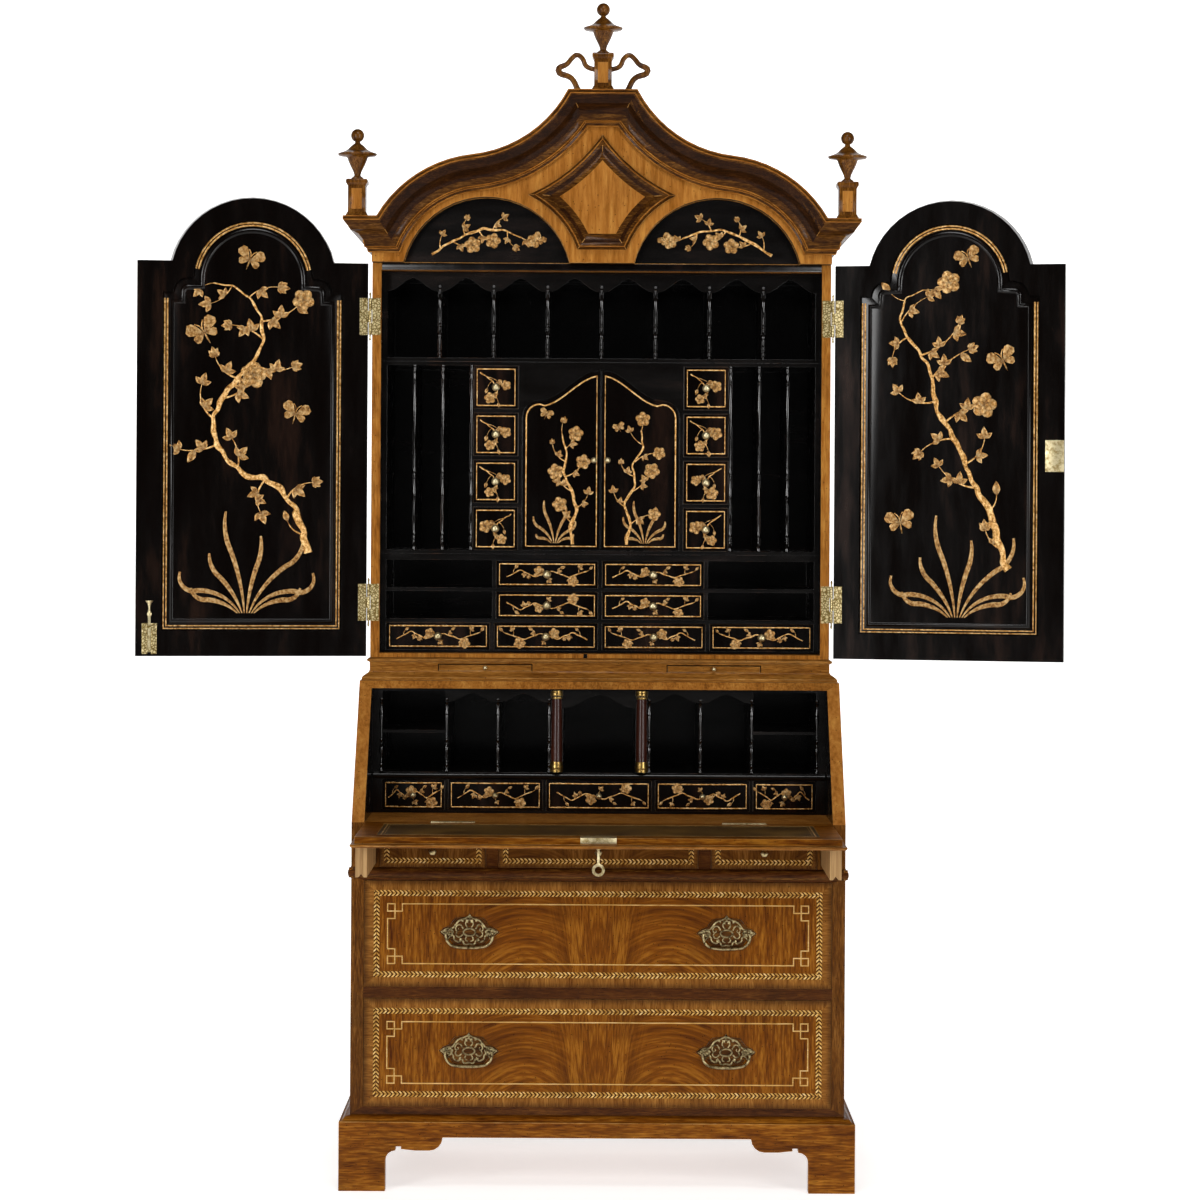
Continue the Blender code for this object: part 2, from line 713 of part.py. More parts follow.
def valance_hole(x0, x1, z0, z1, y0, y1, drop=VALANCE_DROP, count=8):
    """The space of a pigeonhole: an arched mouth in the valance and a plain box behind it."""
    arch = []
    for i in range(count + 1):
        t = 2 * i / count - 1
        fall = drop * (0.15 + 0.85 * (0.5 - 0.5 * math.cos(math.pi * t)) ** 0.8)
        arch.append((x1 - (x1 - x0) * i / count, z1 - fall))
    mouth = prism_y([(x0, z0), (x1, z0), *arch], y0 - 0.05, y0 + VALANCE_THICK + 0.001)
    return [mouth, box(x0, x1, y0 + VALANCE_THICK, y1, z0, z1)]


def desk_columns():
    """The right-hand x edges of the desk fitment's parts, from the middle out."""
    prospect = PROSPECT_WIDTH / 2
    pair = prospect + COLUMN_BAY + DESK_BOARD
    outer = pair + DESK_PAIR_WIDTH
    return prospect, pair, outer, DESK_HALF - DESK_END_BOARD


def desk_drawer_bays():
    """The five bays (x0, x1) of the desk drawers, from left to right."""
    _, _, outer, end = desk_columns()
    centre = DESK_CENTRE_DRAWER / 2
    right = [(centre + DESK_BOARD, outer - DESK_BOARD), (outer, end)]
    left = [(-high, -low) for low, high in reversed(right)]
    return [*left, (-centre, centre), *right]


def make_desk_fitment():
    prospect, pair, outer, end = desk_columns()
    z0 = WRITING_Z + SEAT
    drawers_z = z0 + DESK_BOARD
    rail_z = drawers_z + DESK_DRAWER_HEIGHT
    holes_z = rail_z + DESK_RAIL
    top = DESK_TOP - DESK_BOARD
    mouth = DESK_FRONT - 0.05
    rear = DESK_BACK - DESK_BOARD
    cuts = [box(x0, x1, mouth, rear, drawers_z, rail_z) for x0, x1 in desk_drawer_bays()]
    cuts += valance_hole(-prospect, prospect, holes_z, top, DESK_FRONT, rear, drop=0.036)
    half_pair = (DESK_PAIR_WIDTH - DESK_BOARD) / 2 - DESK_BOARD / 2
    shelf = (holes_z + top) / 2
    for hand in (-1, 1):
        for low, high in ((pair, pair + half_pair), (outer - DESK_BOARD - half_pair, outer - DESK_BOARD)):
            low, high = sorted((hand * low, hand * high))
            cuts += valance_hole(low, high, holes_z, top, DESK_FRONT, rear)
        low, high = sorted((hand * outer, hand * end))
        for bottom, upper in ((holes_z, shelf - DESK_BOARD / 2), (shelf + DESK_BOARD / 2, top)):
            cuts.append(box(low, high, mouth, rear, bottom, upper))
    rail = [(DESK_FRONT - u, rail_z + DESK_RAIL / 2 + v) for u, v in half_round(0.007, DESK_RAIL * 0.42)]
    joined = [prism_x(rail, -DESK_HALF + 0.002, DESK_HALF - 0.002)]
    for hand in (-1, 1):
        centre = (hand * (prospect + COLUMN_BAY / 2), DESK_FRONT, 0)
        joined.append(turned(column_profile(holes_z + 0.001, top + 0.003), 10, centre))
    solid = box(-DESK_HALF, DESK_HALF, DESK_FRONT, DESK_BACK, z0, DESK_TOP)
    sub_part("desk_fitment", LACQUER, solid, joined=joined, cut=cuts)


def column_profile(z0, z1):
    base = (z1 - z0) * 0.11
    wide = COLUMN_RADIUS * 1.12
    return (
        (wide, z0),
        (wide, z0 + base * 0.5),
        (COLUMN_RADIUS, z0 + base),
        (COLUMN_RADIUS * 0.86, z1 - base),
        (wide, z1 - base * 0.7),
        (wide, z1),
    )


def make_desk_drawers():
    z0 = WRITING_Z + SEAT + DESK_BOARD
    depth = DESK_BACK - DESK_BOARD - DESK_FRONT - DRAWER_BACK_GAP
    for number, (x0, x1) in enumerate(desk_drawer_bays(), 1):
        bay = (x0, x1, z0, z0 + DESK_DRAWER_HEIGHT)
        bay_drawer(
            f"desk_drawer_{number}",
            LACQUER,
            bay,
            DESK_FRONT,
            depth,
            [(x0 + x1) / 2],
            SMALL_FRONT,
            SMALL_WALL,
            knob_radius=KNOB_RADIUS * 0.75,
            bow=0.006,
        )


# Cabinet base and candle slides


def slide_z():
    bottom = CABINET_Z + WAIST_MOULDING
    return bottom, bottom + SLIDE_THICK + 2 * RUNNING


def make_cabinet_base():
    section = (
        (WAIST_FLARE, 0.0),
        (WAIST_FLARE, WAIST_MOULDING * 0.3),
        (WAIST_FLARE * 0.75, WAIST_MOULDING * 0.5),
        (WAIST_FLARE * 0.25, WAIST_MOULDING * 0.75),
        (RUNNING, WAIST_MOULDING),
        (RUNNING, WAIST_HEIGHT * 0.8),
        (WAIST_FLARE * 0.35, WAIST_HEIGHT * 0.84),
        (WAIST_FLARE * 0.4, WAIST_HEIGHT * 0.92),
        (RUNNING, WAIST_HEIGHT),
    )
    loops = []
    for out, up in section:
        reach = UPPER_HALF + out
        front = UPPER_FRONT - out
        corners = ((-reach, front), (reach, front), (reach, BACK), (-reach, BACK))
        loops.append([(x, y, CABINET_Z + up) for x, y in corners])
    z0, z1 = slide_z()
    cuts = []
    for hand in (-1, 1):
        x = hand * SLIDE_CENTRE
        half = SLIDE_WIDTH / 2
        cuts.append(box(x - half, x + half, UPPER_FRONT - 0.05, UPPER_FRONT + SLIDE_LENGTH + 0.004, z0, z1))
    sub_part("cabinet_base", WALNUT, loft(loops), cut=cuts)


def make_candle_slides():
    z0, _ = slide_z()
    for hand, name in ((-1, "candle_slide_left"), (1, "candle_slide_right")):
        x = hand * SLIDE_CENTRE
        half = SLIDE_WIDTH / 2 - RUNNING
        front = UPPER_FRONT - RUNNING
        board = box(x - half, x + half, front, front + SLIDE_LENGTH, z0 + SEAT, z0 + SEAT + SLIDE_THICK)
        pull = knob(x, front, z0 + SLIDE_THICK / 2, radius=0.0045, length=0.014)
        sub_part(name, WALNUT, board, joined=[pull])


# Upper case and its fitments


def make_upper_case():
    body = box(-UPPER_HALF, UPPER_HALF, UPPER_FRONT, BACK, UPPER_Z, UPPER_TOP)
    inside = box(
        -UPPER_INNER,
        UPPER_INNER,
        UPPER_FRONT - 0.05,
        BACK - UPPER_BACK,
        UPPER_Z + UPPER_FLOOR,
        UPPER_TOP - UPPER_ROOF,
    )
    bolt_x = -DOOR_END_GAP / 2 - BOLT_FROM_EDGE
    half = BOLT_WIDTH / 2 + RUNNING
    keep = box(
        bolt_x - half, bolt_x + half, UPPER_FRONT - 0.05, UPPER_FRONT + 0.009, UPPER_Z - 0.01, UPPER_Z + 0.02
    )
    sub_part("upper_case", WALNUT, body, cut=[inside, keep])


def fitment_levels():
    """The bottom z of the lower nest, the nest case and the pigeonhole row, and the row's top."""
    lower = UPPER_Z + UPPER_FLOOR + SEAT
    nest = lower + LOWER_NEST_HEIGHT + SEAT
    row = nest + NEST_CASE_HEIGHT + SEAT
    return lower, nest, row, UPPER_TOP - UPPER_ROOF - SEAT


def fitment_block(z0, z1):
    return box(-FITMENT_HALF, FITMENT_HALF, FITMENT_FRONT, FITMENT_BACK, z0, z1)


def make_pigeonhole_row():
    _, _, z0, z1 = fitment_levels()
    clear = 2 * (FITMENT_HALF - END_BOARD)
    pitch = (clear + NEST_BOARD) / PIGEONHOLES
    cuts = []
    for i in range(PIGEONHOLES):
        low = -FITMENT_HALF + END_BOARD + i * pitch
        cuts += valance_hole(
            low,
            low + pitch - NEST_BOARD,
            z0 + NEST_BOARD,
            z1 - NEST_BOARD,
            FITMENT_FRONT,
            FITMENT_BACK - NEST_BOARD,
            drop=0.036,
        )
    sub_part("pigeonhole_row", LACQUER, fitment_block(z0, z1), cut=cuts)


def cupboard_head(bottom, inset):
    """The right half of the shaped cupboard head, from the side in: a quarter round, then an ogee."""
    side = bottom + CUPBOARD_SIDE_HEIGHT
    shoulder = CUPBOARD_WIDTH / 2 - CUPBOARD_COVE
    points = arc(shoulder, side, CUPBOARD_COVE - inset, 0, math.pi / 2, 5)
    for i in range(1, 9):
        rise = CUPBOARD_RISE * (0.5 - 0.5 * math.cos(math.pi * i / 8))
        points.append((max(shoulder * (1 - i / 8), inset), side + CUPBOARD_COVE + rise - 1.5 * inset))
    return points


def nest_columns():
    """The (low x, high x) of the right-hand drawer column and folio rack."""
    folio_high = FITMENT_HALF - END_BOARD
    folio_low = folio_high - FOLIO_WIDTH
    column = (CUPBOARD_WIDTH / 2 + NEST_BOARD, folio_low - NEST_BOARD)
    return column, (folio_low, folio_high)


def nest_rows():
    """The (low z, high z) of the drawer column's bays, from the bottom up."""
    _, z0, _, _ = fitment_levels()
    low = z0 + NEST_BOARD
    pitch = (NEST_CASE_HEIGHT - NEST_BOARD) / DRAWER_COLUMN_ROWS
    return [(low + i * pitch, low + (i + 1) * pitch - NEST_BOARD) for i in range(DRAWER_COLUMN_ROWS)]


def make_nest_case():
    _, z0, _, _ = fitment_levels()
    z1 = z0 + NEST_CASE_HEIGHT
    column, folio = nest_columns()
    mouth = FITMENT_FRONT - 0.05
    rear = FITMENT_BACK - NEST_BOARD
    floor = z0 + NEST_BOARD
    half = CUPBOARD_WIDTH / 2
    door_back = FITMENT_FRONT + CUPBOARD_DOOR_THICK + RUNNING
    right = [(half, floor), *cupboard_head(floor, 0)]
    shaped_mouth = right + [(-x, z) for x, z in reversed(right[:-1])]
    cuts = [
        prism_y(shaped_mouth, mouth, door_back),
        box(-half, half, door_back - 0.001, rear, floor, z1 - NEST_BOARD),
    ]
    slot = (FOLIO_WIDTH + FOLIO_DIVIDER) / FOLIO_SLOTS
    for hand in (-1, 1):
        low, high = sorted((hand * column[0], hand * column[1]))
        for bottom, top in nest_rows():
            cuts.append(box(low, high, mouth, rear, bottom, top))
        for i in range(FOLIO_SLOTS):
            inner = folio[0] + i * slot
            low, high = sorted((hand * inner, hand * (inner + slot - FOLIO_DIVIDER)))
            cuts.append(box(low, high, mouth, rear, floor, z1 - NEST_BOARD))
    sub_part("nest_case", LACQUER, fitment_block(z0, z1), cut=cuts)


def lower_nest_rows():
    """The (low z, high z) of the lower nest's three rows, from the bottom up."""
    z0, _, _, _ = fitment_levels()
    pitch = SMALL_ROW_HEIGHT + NEST_BOARD
    low = z0 + DESK_BOARD
    return [(low + i * pitch, low + i * pitch + SMALL_ROW_HEIGHT) for i in range(3)]


def inner_bays():
    """The (low x, high x) of the right-hand inner drawers and of the side pigeonholes."""
    low = NEST_BOARD / 2
    return (low, low + INNER_DRAWER_WIDTH), (low + INNER_DRAWER_WIDTH + NEST_BOARD, FITMENT_HALF - END_BOARD)


def bottom_bays():
    clear = 2 * (FITMENT_HALF - END_BOARD)
    pitch = (clear + NEST_BOARD) / BOTTOM_DRAWERS
    low = -FITMENT_HALF + END_BOARD
    return [(low + i * pitch, low + (i + 1) * pitch - NEST_BOARD) for i in range(BOTTOM_DRAWERS)]


def make_lower_nest():
    z0, _, _, _ = fitment_levels()
    mouth = FITMENT_FRONT - 0.05
    rear = FITMENT_BACK - NEST_BOARD
    bottom, middle, upper = lower_nest_rows()
    drawers, sides = inner_bays()
    cuts = [box(x0, x1, mouth, rear, *bottom) for x0, x1 in bottom_bays()]
    for hand in (-1, 1):
        for bay in (drawers, sides):
            low, high = sorted((hand * bay[0], hand * bay[1]))
            for row in (middle, upper):
                cuts.append(box(low, high, mouth, rear, *row))
    sub_part("lower_nest", LACQUER, fitment_block(z0, z0 + LOWER_NEST_HEIGHT), cut=cuts)


def make_cabinet_drawers():
    depth = FITMENT_BACK - NEST_BOARD - FITMENT_FRONT - DRAWER_BACK_GAP
    column, _ = nest_columns()
    drawers, _ = inner_bays()
    _, middle, upper = lower_nest_rows()
    wanted = []
    for hand, side in ((-1, "left"), (1, "right")):
        for number, row in enumerate(reversed(nest_rows()), 1):
            wanted.append((f"column_drawer_{side}_{number}", hand, column, row))
        wanted.append((f"inner_drawer_{side}_upper", hand, drawers, upper))
        wanted.append((f"inner_drawer_{side}_lower", hand, drawers, middle))
    for number, bay in enumerate(bottom_bays(), 1):
        wanted.append((f"bottom_drawer_{number}", 1, bay, lower_nest_rows()[0]))
    for name, hand, bay, row in wanted:
        x0, x1 = sorted((hand * bay[0], hand * bay[1]))
        bay_drawer(
            name, LACQUER, (x0, x1, *row), FITMENT_FRONT, depth, [(x0 + x1) / 2], SMALL_FRONT, SMALL_WALL
        )


def make_cupboard_doors():
    """The pair of shaped doors; each one's zero is on its hinge line, at its front outer edge."""
    _, nest_z, _, _ = fitment_levels()
    bottom = nest_z + NEST_BOARD
    half = CUPBOARD_WIDTH / 2
    for hand, name in ((-1, "cupboard_door_left"), (1, "cupboard_door_right")):
        outline = [(RUNNING, bottom + RUNNING), (half - RUNNING, bottom + RUNNING)]
        outline += cupboard_head(bottom, RUNNING)
        hinge_x = hand * half
        hinge_y = FITMENT_FRONT
        local = [(hand * x - hinge_x, z) for x, z in outline]
        door = prism_y(local, RUNNING, CUPBOARD_DOOR_THICK)
        pull_z = bottom + CUPBOARD_SIDE_HEIGHT * 0.68
        pull = knob(hand * CUPBOARD_KNOB_X - hinge_x, RUNNING, pull_z, radius=CUPBOARD_KNOB_RADIUS)
        sub_part(name, LACQUER, door, joined=[pull], origin=(hinge_x, hinge_y, 0.0))


# Main doors


def door_outline(width, arch_radius, bottom, shoulder):
    """The (distance from the hinge edge, z) outline of an arched door."""
    half = width / 2
    rise = shoulder - ARCH_Z
    start = math.asin(rise / arch_radius)
    head = arc(half, ARCH_Z, arch_radius, start, math.pi - start, 20)
    return [(0, bottom), (width, bottom), (width, shoulder), *head, (0, shoulder)]


def panel_outline(width, inset):
    """The (distance from the hinge edge, z) outline of the door's shaped panel, drawn in by inset."""
    centre = width / 2
    half = centre - PANEL_MARGIN - inset
    bottom = DOOR_BOTTOM + PANEL_MARGIN + inset
    step_z = DOOR_SHOULDER - PANEL_SHOULDER_DROP
    radius = ARCH_RADIUS - PANEL_MARGIN - inset
    cove = PANEL_COVE - inset
    cove_x = ARCH_RADIUS - PANEL_MARGIN + PANEL_STEP
    foot_z = step_z + cove
    foot = math.asin((foot_z - ARCH_Z) / radius)
    right = [(half, bottom), (half, step_z - inset), (cove_x + cove, step_z - inset)]
    right += arc(cove_x, step_z, cove, 0.2, math.pi / 2, 4)
    right += arc(0, ARCH_Z, radius, foot, math.pi / 2, 8)
    left = [(-u, v) for u, v in reversed(right[:-1])]
    return [(centre + u, v) for u, v in right + left]


def make_doors():
    width = UPPER_HALF - DOOR_END_GAP / 2
    back = -DOOR_CASE_GAP / 2
    front = back - DOOR_THICK
    groove = (DOOR_THICK - PANEL_TONGUE_THICK) / 2
    opening = ARCH_RADIUS - DOOR_END_GAP
    for hand, side, opened in ((-1, "left", LEFT_DOOR_OPEN), (1, "right", RIGHT_DOOR_OPEN)):

        def across(outline, y):
            return [(-hand * (HINGE_OUT + u), y, z) for u, z in outline]

        def plate(outline, y0, y1):
            return loft([across(outline, y0), across(outline, y1)])

        front_face = across(door_outline(width, opening, DOOR_BOTTOM, DOOR_SHOULDER), front)
        back_face = across(door_outline(width, opening - DOOR_ARCH_BEVEL, DOOR_BOTTOM, DOOR_SHOULDER), back)
        cuts = [
            plate(panel_outline(width, 0), front - 0.01, back + 0.01),
            plate(panel_outline(width, -PANEL_TONGUE - SEAT), front + groove - SEAT, back - groove + SEAT),
        ]
        origin = (hand * (UPPER_HALF + HINGE_OUT), UPPER_FRONT - DOOR_CASE_GAP / 2, 0.0)
        turn = hand * math.radians(opened)
        leaves = []
        for height in HINGE_HEIGHTS:
            leaves += door_leaf(hand, UPPER_Z + height, back)
        sub_part(
            f"{side}_door_frame",
            LACQUER,
            loft([front_face, back_face]),
            joined=leaves,
            cut=cuts,
            bored=[door_bore(UPPER_Z + height) for height in HINGE_HEIGHTS],
            origin=origin,
            turn=turn,
        )
        field = PANEL_FIELD
        layers = (
            (field, front + PANEL_TONGUE_THICK * 0.4),
            (2 * RUNNING, front + groove - RUNNING),
            (RUNNING, front + groove),
            (-PANEL_TONGUE, front + groove),
            (-PANEL_TONGUE, back - groove),
            (RUNNING, back - groove),
            (2 * RUNNING, back - groove + RUNNING),
            (field, back - PANEL_TONGUE_THICK * 0.4),
        )
        panel = loft([across(panel_outline(width, inset), y) for inset, y in layers])
        sub_part(f"{side}_door_panel", LACQUER, panel, origin=origin, turn=turn)


def knuckle_spans(z):
    """The z spans of a hinge's lower, middle and upper knuckles."""
    third = HINGE_LEAF_HEIGHT / 3
    low = z - HINGE_LEAF_HEIGHT / 2
    return [(low + i * third + SEAT, low + (i + 1) * third - SEAT) for i in range(3)]


def door_leaf(hand, z, back):
    """A leaf on the door's inner face with the middle knuckle, round the pin's axis."""
    low, high = knuckle_spans(z)[1]
    half = HINGE_LEAF_HEIGHT / 2
    x0, x1 = sorted((-hand * (HINGE_OUT + RUNNING), -hand * (HINGE_OUT + HINGE_LEAF_WIDTH)))
    leaf = box(x0, x1, back - 0.002, back + HINGE_LEAF_THICK, z - half, z + half)
    x0, x1 = sorted((-hand * HINGE_PIN_RADIUS * 1.5, -hand * (HINGE_OUT + 0.003)))
    neck = box(x0, x1, back - 0.0012, back + HINGE_LEAF_THICK * 0.8, low + SEAT, high - SEAT)
    knuckle = turned(((HINGE_RADIUS, low), (HINGE_RADIUS, high)), 8, (0, 0, 0))
    return [leaf, neck, knuckle]


def door_bore(z):
    """The pin's bore through a door's middle knuckle."""
    low, high = knuckle_spans(z)[1]
    radius = HINGE_PIN_RADIUS + SEAT
    return turned(((radius, low - 0.001), (radius, high + 0.001)), 8, (0, 0, 0))


def make_hinges():
    """Each hinge's fixed half: a leaf on the case edge, the outer knuckles and the pin with its tips."""
    for hand, side in ((-1, "left"), (1, "right")):
        for height, level in zip(HINGE_HEIGHTS, ("lower", "upper")):
            z = UPPER_Z + height
            axis = (hand * (UPPER_HALF + HINGE_OUT), UPPER_FRONT - DOOR_CASE_GAP / 2, 0.0)
            half = HINGE_LEAF_HEIGHT / 2
            y1 = DOOR_CASE_GAP / 2 - SEAT
            y0 = y1 - HINGE_LEAF_THICK
            x0, x1 = sorted((-hand * HINGE_OUT, -hand * (HINGE_OUT + HINGE_LEAF_WIDTH)))
            leaf = box(x0, x1, y0, y1, z - half, z + half)
            spans = knuckle_spans(z)
            solids = [leaf]
            for low, high in (spans[0], spans[2]):
                x0, x1 = sorted((0.0, -hand * (HINGE_OUT + 0.003)))
                solids.append(box(x0, x1, y0 + SEAT / 2, y1 - SEAT / 2, low + SEAT, high - SEAT))
                solids.append(turned(((HINGE_RADIUS, low), (HINGE_RADIUS, high)), 8, (0, 0, 0)))
            pin = (
                (0.0009, z - half - 0.013),
                (0.0024, z - half - 0.009),
                (HINGE_PIN_RADIUS, z - half - 0.004),
                (HINGE_PIN_RADIUS, z + half + 0.004),
                (0.0024, z + half + 0.009),
                (0.0009, z + half + 0.013),
            )
            sub_part(f"hinge_{side}_{level}", BRASS, turned(pin, 8, (0, 0, 0)), joined=solids, origin=axis)


def make_bolt():
    """The flush bolt on the left door's inner face, near the free edge; it slides down into the floor."""
    width = UPPER_HALF - DOOR_END_GAP / 2
    origin = (-(UPPER_HALF + HINGE_OUT), UPPER_FRONT - DOOR_CASE_GAP / 2, 0.0)
    x = HINGE_OUT + width - BOLT_FROM_EDGE
    back = -DOOR_CASE_GAP / 2
    z0 = UPPER_Z + UPPER_FLOOR + 2 * RUNNING
    half = BOLT_WIDTH / 2
    bar = box(x - half, x + half, back + SEAT, back + 0.0035, z0, z0 + BOLT_LENGTH)
    profile = ((0.0030, 0.0), (0.0022, 0.004), (0.0055, 0.010), (0.0015, 0.012))
    grip = turned([(r, -0.0025 - a) for r, a in profile], 8, (x, back, z0 + BOLT_LENGTH - 0.008), axis="Y")
    turn = -math.radians(LEFT_DOOR_OPEN)
    sub_part("left_door_bolt", BRASS, bar, joined=[grip], origin=origin, turn=turn)


# Hood


def ogee_line(rise):
    """The right half of a line along the cornice, rise outside its inner edge: corner, arc, ogee, crest."""
    z = CORNICE_Z + rise
    start = math.asin((z - ARCH_Z) / (INNER_ARC + rise))
    turn = math.atan2(OGEE_Z - ARCH_Z, OGEE_X - ARCH_X)
    points = arc(ARCH_X, ARCH_Z, INNER_ARC + rise, start, turn, 10)
    radius = OGEE_RADIUS - rise
    end = math.asin((CREST_Z + rise - OGEE_Z) / radius)
    points += arc(OGEE_X, OGEE_Z, radius, turn + math.pi, math.pi - end, 10)[1:]
    return points


def cornice_section():
    """The moulding's section as (out, rise), with its back sunk into the wall."""
    out, high = CORNICE_OUT, CORNICE_HEIGHT
    return (
        (-0.010, 0.0),
        (out * 0.12, 0.0),
        (out * 0.16, high * 0.10),
        (out * 0.24, high * 0.14),
        (out * 0.30, high * 0.34),
        (out * 0.48, high * 0.52),
        (out * 0.76, high * 0.62),
        (out * 0.84, high * 0.72),
        (out * 0.96, high * 0.84),
        (out, high * 0.90),
        (out, high),
        (-0.010, high),
    )


def cornice_solid():
    """One moulding: back along the right side, round the front over both domes, and back along the left."""
    lines = []
    for out, rise in cornice_section():
        z = CORNICE_Z + rise
        side = UPPER_HALF + out
        face = SPANDREL_FRONT - out
        right = [(side, BACK, z), (side, face, z)]
        right += [(x, face, z_line) for x, z_line in ogee_line(rise)]
        left = [(-x, y, z_left) for x, y, z_left in reversed(right)]
        lines.append(right + left)
    return loft([[line[i] for line in lines] for i in range(len(lines[0]))])


def spandrel_outline():
    """The front board: arched door heads cut from below, and a top that lies behind the cornice."""
    opening = ARCH_RADIUS
    start = math.asin(ARCH_CENTRE_DROP / opening)
    right = [(UPPER_HALF, HOOD_Z), (UPPER_HALF, CORNICE_Z + CORNICE_HEIGHT / 2)]
    right += ogee_line(CORNICE_HEIGHT / 2)
    left = [(-x, z) for x, z in reversed(right)]
    heads = arc(-ARCH_X, ARCH_Z, opening, math.pi - start, start, 20)
    heads += arc(ARCH_X, ARCH_Z, opening, math.pi - start, start, 20)
    return right + left + heads


def circle_meet(first, radius_1, second, radius_2):
    """The lower meeting point of two circles, first to the left of or below second."""
    delta = Vector(second) - Vector(first)
    gap = delta.length
    along = (gap**2 + radius_1**2 - radius_2**2) / (2 * gap)
    off = math.sqrt(radius_1**2 - along**2)
    unit = delta / gap
    return Vector(first) + unit * along + Vector((-unit.y, unit.x)) * off


def lozenge_outline(inset):
    """The lozenge between the domes: sides hollowed round the arch and ogee centres, a flat foot."""
    arch_radius = ARCH_RADIUS + LOZENGE_ARCH_OFFSET + inset
    ogee_radius = OGEE_RADIUS + LOZENGE_OGEE_OFFSET + inset
    foot = HOOD_Z + LOZENGE_BOTTOM_RISE + inset
    side = circle_meet((ARCH_X, ARCH_Z), arch_radius, (OGEE_X, OGEE_Z), ogee_radius)
    low = math.pi - math.asin((foot - ARCH_Z) / arch_radius)
    high = math.atan2(side.y - ARCH_Z, side.x - ARCH_X)
    right = arc(ARCH_X, ARCH_Z, arch_radius, low, high, 6)
    begin = math.atan2(side.y - OGEE_Z, side.x - OGEE_X)
    end = -math.acos(-OGEE_X / ogee_radius)
    right += arc(OGEE_X, OGEE_Z, ogee_radius, begin, end, 6)[1:]
    left = [(-x, z) for x, z in reversed(right[:-1])]
    return right + left


def lunette(hand):
    """The board that closes an arch behind its door's head."""
    radius = ARCH_RADIUS + LUNETTE_LAP
    start = math.asin(ARCH_CENTRE_DROP / radius)
    head = arc(hand * ARCH_X, ARCH_Z, radius, start, math.pi - start, 20)
    return prism_y(head, UPPER_FRONT - LUNETTE_PROUD, UPPER_FRONT + LUNETTE_BOARD)


def make_hood():
    board = prism_y(spandrel_outline(), SPANDREL_FRONT, UPPER_FRONT)
    walls = [lunette(hand) for hand in (-1, 1)]
    wall_front = UPPER_FRONT - LUNETTE_PROUD / 2
    roof_top = HOOD_Z + HOOD_ROOF_RISE
    for hand in (-1, 1):
        x0, x1 = sorted((hand * (UPPER_HALF - HOOD_WALL), hand * UPPER_HALF))
        walls.append(box(x0, x1, wall_front, BACK, HOOD_Z, roof_top))
    walls.append(box(-UPPER_HALF + RUNNING, UPPER_HALF - RUNNING, BACK - HOOD_WALL, BACK, HOOD_Z, roof_top))
    reach = UPPER_HALF - RUNNING
    roof = box(-reach, reach, wall_front, BACK, roof_top - UPPER_ROOF, roof_top)
    rings = ((0.0, -0.004), (0.0, 0.004), (0.006, 1.0), (0.014, 0.85), (0.022, 0.35), (0.034, 0.2))
    loops = []
    for inset, proud in rings:
        lift = proud if abs(proud) < 0.01 else proud * LOZENGE_PROUD
        loops.append([(x, SPANDREL_FRONT - lift, z) for x, z in lozenge_outline(inset)])
    joined = [*walls, roof, cornice_solid(), loft(loops)]
    sub_part("hood", WALNUT, board, joined=joined)


def finial_profile(z):
    """A turned urn with a wide disc and a ball on top."""
    high, disc = FINIAL_HEIGHT, FINIAL_DISC_RADIUS
    ball = high * 0.13
    points = [
        (disc * 0.30, z - 0.002),
        (disc * 0.30, z + high * 0.04),
        (disc * 0.15, z + high * 0.08),
        (disc * 0.20, z + high * 0.15),
        (disc * 0.40, z + high * 0.30),
        (disc * 0.52, z + high * 0.43),
        (disc * 0.96, z + high * 0.47),
        (disc, z + high * 0.51),
        (disc * 0.55, z + high * 0.58),
        (disc * 0.36, z + high * 0.65),
        (disc * 0.14, z + high * 0.71),
    ]
    for angle in angles(-0.38 * math.pi, 0.45 * math.pi, 5):
        points.append((ball * math.cos(angle), z + high - ball * (1 - math.sin(angle))))
    return points


def pedestal(x, y, z):
    """A square pedestal with a moulded foot and cap."""
    half = PEDESTAL_WIDTH / 2
    wide = half * 1.22
    section = (
        (wide, 0.0),
        (wide, 0.06),
        (half, 0.12),
        (half, 0.84),
        (wide, 0.90),
        (wide, 1.0),
    )
    loops = []
    for reach, t in section:
        corners = ((-reach, -reach), (reach, -reach), (reach, reach), (-reach, reach))
        loops.append([(x + u, y + v, z + PEDESTAL_HEIGHT * t) for u, v in corners])
    return loft(loops)


def make_finials():
    """Three finials; the middle one has an open scroll bracket on each side."""
    y = SPANDREL_FRONT - CORNICE_OUT + PEDESTAL_WIDTH * 0.75
    corner = UPPER_HALF + CORNICE_OUT - PEDESTAL_WIDTH * 0.75
    places = (
        ("finial_left", -corner, CORNICE_TOP + SEAT),
        ("finial_middle", 0.0, CREST_TOP + SEAT),
        ("finial_right", corner, CORNICE_TOP + SEAT),
    )
    for name, x, z in places:
        joined = [turned(finial_profile(z + PEDESTAL_HEIGHT), 10, (x, y, 0))]
        if name == "finial_middle":
            joined += [scroll(hand, y, z) for hand in (-1, 1)]
        sub_part(name, WALNUT, pedestal(x, y, z), joined=joined)


